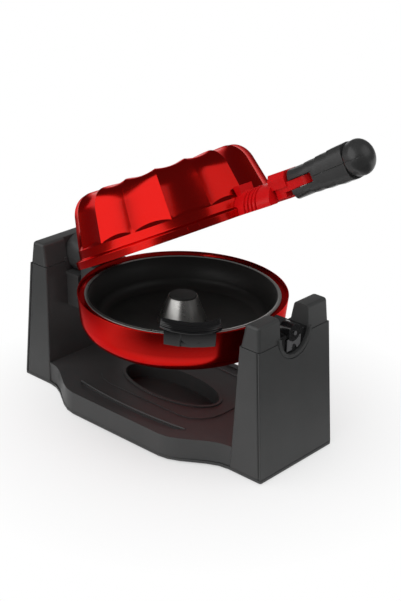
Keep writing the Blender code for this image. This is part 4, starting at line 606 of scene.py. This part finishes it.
# The lid is a deep pressing with sixteen flutes: above a plain band on its flange,
# sharp ridges run up and over the shoulder, and the panels between them are sunk
hinge, open_angle = Vector(lift), radians(28)
lid_shift = 0.002
lid = Vector((head_x + lid_shift, 0, axis_height))
flute_count, steps_per_flute = 16, 16
skirt_low, skirt_high, skirt_round = 0.0005, 0.0088, 0.0012
band_radius, band_foot, band_top, band_top_radius = 0.1088, 0.0100, 0.0190, 0.1074
wall_top, wall_top_radius, crown_radius = 0.0526, 0.1001, 0.0794
shoulder_foot, shoulder_width, shoulder_angle = 0.0454, 0.0215, 15.3
dome_top, crown_sink = 0.0727, 0.0042
panel_dip, crown_dip, fade_radius, arch_rise, foot_gap = 0.0042, 0.0024, 0.030, 0.0036, 0.0007
band_ease = 0.0001
band_hollow = ((-0.0002, 0.0012, 0), (0.0002, 0.0003, 1), (0.0010, -0.0003, 1))


def open_up(piece):
    """Turn a piece that was modelled with the lid shut about the hinge."""
    turn = Matrix.Rotation(-open_angle, 4, "Y")
    piece.data.transform(Matrix.Translation(hinge) @ turn @ Matrix.Translation(-hinge))


def dome_side(inset):
    """Ridge line of the lid from its crown to its skirt, moved in by inset."""
    top = dome_top - inset
    crown = [(crown_radius * i / 12, top - crown_sink * (1 - (i / 12) ** 2) ** 2)
             for i in range(12)]
    shoulder = sweep((crown_radius, shoulder_foot), shoulder_width - inset, top - shoulder_foot,
                     90, shoulder_angle, 18)
    foot = band_top + foot_gap
    end = shoulder[-1]
    upright = [(end[0] + (band_top_radius - inset - end[0]) * i / 6,
                end[1] + (foot - end[1]) * i / 6) for i in range(1, 7)]
    band = [(band_top_radius + band_ease - inset, band_top)]
    band += [(band_radius + out - inset, band_foot + up - below * inset)
             for out, up, below in band_hollow]
    rim = rim_radius - inset
    edge = sweep((rim - skirt_round, skirt_high - skirt_round - inset), skirt_round, skirt_round,
                 90, 0, 5)
    return crown + shoulder + upright + band + edge + [(rim, skirt_low)]


def press_flutes(piece, centre, sink):
    """Sink the panels between the ridges, and lift their feet to arches."""
    for vert in piece.data.vertices:
        across = Vector((vert.co.x - centre.x, vert.co.y))
        radius = across.length
        if radius < fade_radius:
            continue
        place = atan2(across.y, across.x) * flute_count / (2 * pi) + 1 / 2
        share = 1 - (2 * (place - round(place))) ** 2
        inward, upward = sink(radius, vert.co.z - centre.z)
        keep = 1 - inward * share / radius
        vert.co.x = centre.x + across.x * keep
        vert.co.y = across.y * keep
        vert.co.z += upward * share


def lid_sink(radius, height):
    """How far a panel's middle lies inwards of the ridges, and above them."""
    if height < band_top + foot_gap / 2:
        return 0, 0
    climb = min(1, max(0, (height - shoulder_foot) / (dome_top - shoulder_foot)))
    if radius < crown_radius:
        climb = 1
    arch = arch_rise * max(0, wall_top - height) / (wall_top - band_top)
    fade = min(1, (radius - fade_radius) / (crown_radius - fade_radius))
    lean = (band_top_radius - wall_top_radius) / (wall_top - band_top)
    return panel_dip * sqrt(1 - climb ** 2) * fade + lean * arch, arch - crown_dip * climb * fade


shell = turn_profile("fluted_lid", dome_side(0) + dome_side(wall)[::-1], lid,
                     flute_count * steps_per_flute)
press_flutes(shell, lid, lid_sink)
soften(shell, 0.0005, 2, 24)
open_up(shell)
smooth_faces(shell, 35)
flatten_shading(shell)
settle(shell, "lid", "red_metal", red_paint, "lid_shell")


# The upper mould inside the lid repeats the flutes in coated sheet,
# and its cone comes down to meet the pan's when the lid is shut
mould_radius, mould_depth, mould_draft = 0.0975, 0.0540, 0.006
mould_crown, mould_corner, mould_flange, mould_dip = 0.064, 0.022, 0.0032, 0.0030


def mould_side(inset):
    """Mould from the tip of its cone to its flange, moved in by inset."""
    corner = sweep((mould_crown, mould_depth - mould_corner),
                   mould_radius - mould_draft - mould_crown - inset, mould_corner - inset, 90, 0, 14)
    tip = cone_gap + pan_wall - inset
    return [(0, tip), (cone_tip - pan_wall - inset, tip), (cone_foot - inset, mould_depth - inset)
            ] + corner + [(mould_radius - inset, mould_flange - inset),
                          (rim_radius - wall - 0.0003, mould_flange - inset)]


def mould_dips(radius, height):
    """How far a panel's middle lies inwards of the mould's ridges."""
    wide = radius > cone_foot + wall and height > mould_flange + wall / 4
    return (mould_dip if wide else 0), 0


mould = turn_profile("upper_mould", mould_side(0) + mould_side(pan_wall)[::-1], lid,
                     flute_count * 8)
press_flutes(mould, lid, mould_dips)
open_up(mould)
smooth_faces(mould, 25)
settle(mould, "lid", "mould_metal", coating, "lid_mould")


# Two small pieces are fixed to the lid's flange: a black moulded arm that turns
# on the hinge pin, and a painted steel tab that the latch's hook holds
settle(rounded_copy("lid_hinge_arm", "lid_knuckle", 0.0005), "lid", "black_plastic", gloss_black,
       "lid_knuckle")
settle(rounded_copy("latch_catch", "catch_tab", 0.0006, 3), "lid", "red_metal", red_paint,
       "catch_tab")


# The neck is a red plastic moulding screwed to the lid: a ribbed half shaft
# that closes over the lower one, a chamfered block and a tongue for the grip
red_plastic, tree, shader = finish("gloss_red_plastic", coat=0.1, coat_roughness=0.06)
shader.inputs["Specular Tint"].default_value = (1.0, 0.25, 0.22, 1)
where = bumped(tree, shader, 500, 0.00001)
mottled(tree, shader, where, 70, "Base Color", (0.52, 0.004, 0.005), (0.60, 0.006, 0.008))
mottled(tree, shader, where, 50, "Roughness", 0.18, 0.26)
settle(rounded_copy("red_neck", "handle_neck", 0.0005), "lid", "red_plastic", red_plastic,
       "handle_neck")


# The grip is two satin black halves screwed together round the tongue,
# stepped for the fingers, with a ball pressed on its end
satin_black, tree, shader = finish("satin_black_plastic", coat=0.15, coat_roughness=0.2, specular=0.6)
where = bumped(tree, shader, 1400, 0.00002)
mottled(tree, shader, where, 90, "Base Color", (0.022, 0.022, 0.022), (0.030, 0.030, 0.030))
mottled(tree, shader, where, 60, "Roughness", 0.30, 0.38)
for name, source in (("grip_top", "grip_upper"), ("grip_bottom", "grip_lower")):
    settle(rounded_copy(name, source, 0.0005), "grip", "black_plastic", satin_black, source)

grip_angle, ball_start, ball_length = radians(31), 0.0590, 0.0225
ball_half_width, ball_half_height, ball_widest, ball_rear = 0.0162, 0.0176, 0.38, 0.92
ball_gap, flat_share, groove_half_width, groove_size = 0.0002, sqrt(0.75), 0.004, 0.985
groove_cuts = (-0.012, 0, 0.012)
grip_way = Vector((cos(grip_angle), 0, sin(grip_angle)))
grip_up = Vector((-sin(grip_angle), 0, cos(grip_angle)))
bpy.ops.mesh.primitive_uv_sphere_add(segments=64, ring_count=40, radius=1, location=(0, 0, 0))
ball = bpy.context.object
ball.name = "grip_ball"
pick(ball)
bpy.ops.object.mode_set(mode="EDIT")
for offset in groove_cuts:
    bpy.ops.mesh.select_all(action="SELECT")
    bpy.ops.mesh.bisect(plane_co=(0, offset, 0), plane_no=(0, 1, 0))
bpy.ops.object.mode_set(mode="OBJECT")

# The sphere's outer half becomes the ball's nose, the next stretch its drawn-in rear,
# and the last cap the flat face that lies against the grip
for vert in ball.data.vertices:
    along, round_size = vert.co.z, hypot(vert.co.x, vert.co.y)
    if along >= 0:
        reach = ball_widest + (1 - ball_widest) * along
        size = round_size
    elif round_size > flat_share:
        reach = ball_widest * (1 + 2 * along)
        size = ball_rear + (1 - ball_rear) * sqrt(max(0, 1 + 2 * along))
    else:
        reach, size = 0, ball_rear * round_size / flat_share
    groove = groove_size if abs(vert.co.y) < groove_half_width else 1
    if round_size > 1e-6:
        size *= groove / round_size
    vert.co = (Vector(fold)
               + grip_way * (ball_start + ball_gap + (ball_length - 1.5 * ball_gap) * reach)
               + Vector((0, ball_half_width * size * vert.co.x, 0))
               + grip_up * ball_half_height * size * vert.co.y)
pick(ball)
bpy.ops.object.mode_set(mode="EDIT")
bpy.ops.mesh.select_all(action="SELECT")
bpy.ops.mesh.remove_doubles(threshold=0.00001)
bpy.ops.mesh.normals_make_consistent(inside=False)
bpy.ops.object.mode_set(mode="OBJECT")
smooth_faces(ball, 40)
settle(ball, "grip", "black_plastic", satin_black, "grip_end_cap")


low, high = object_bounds()
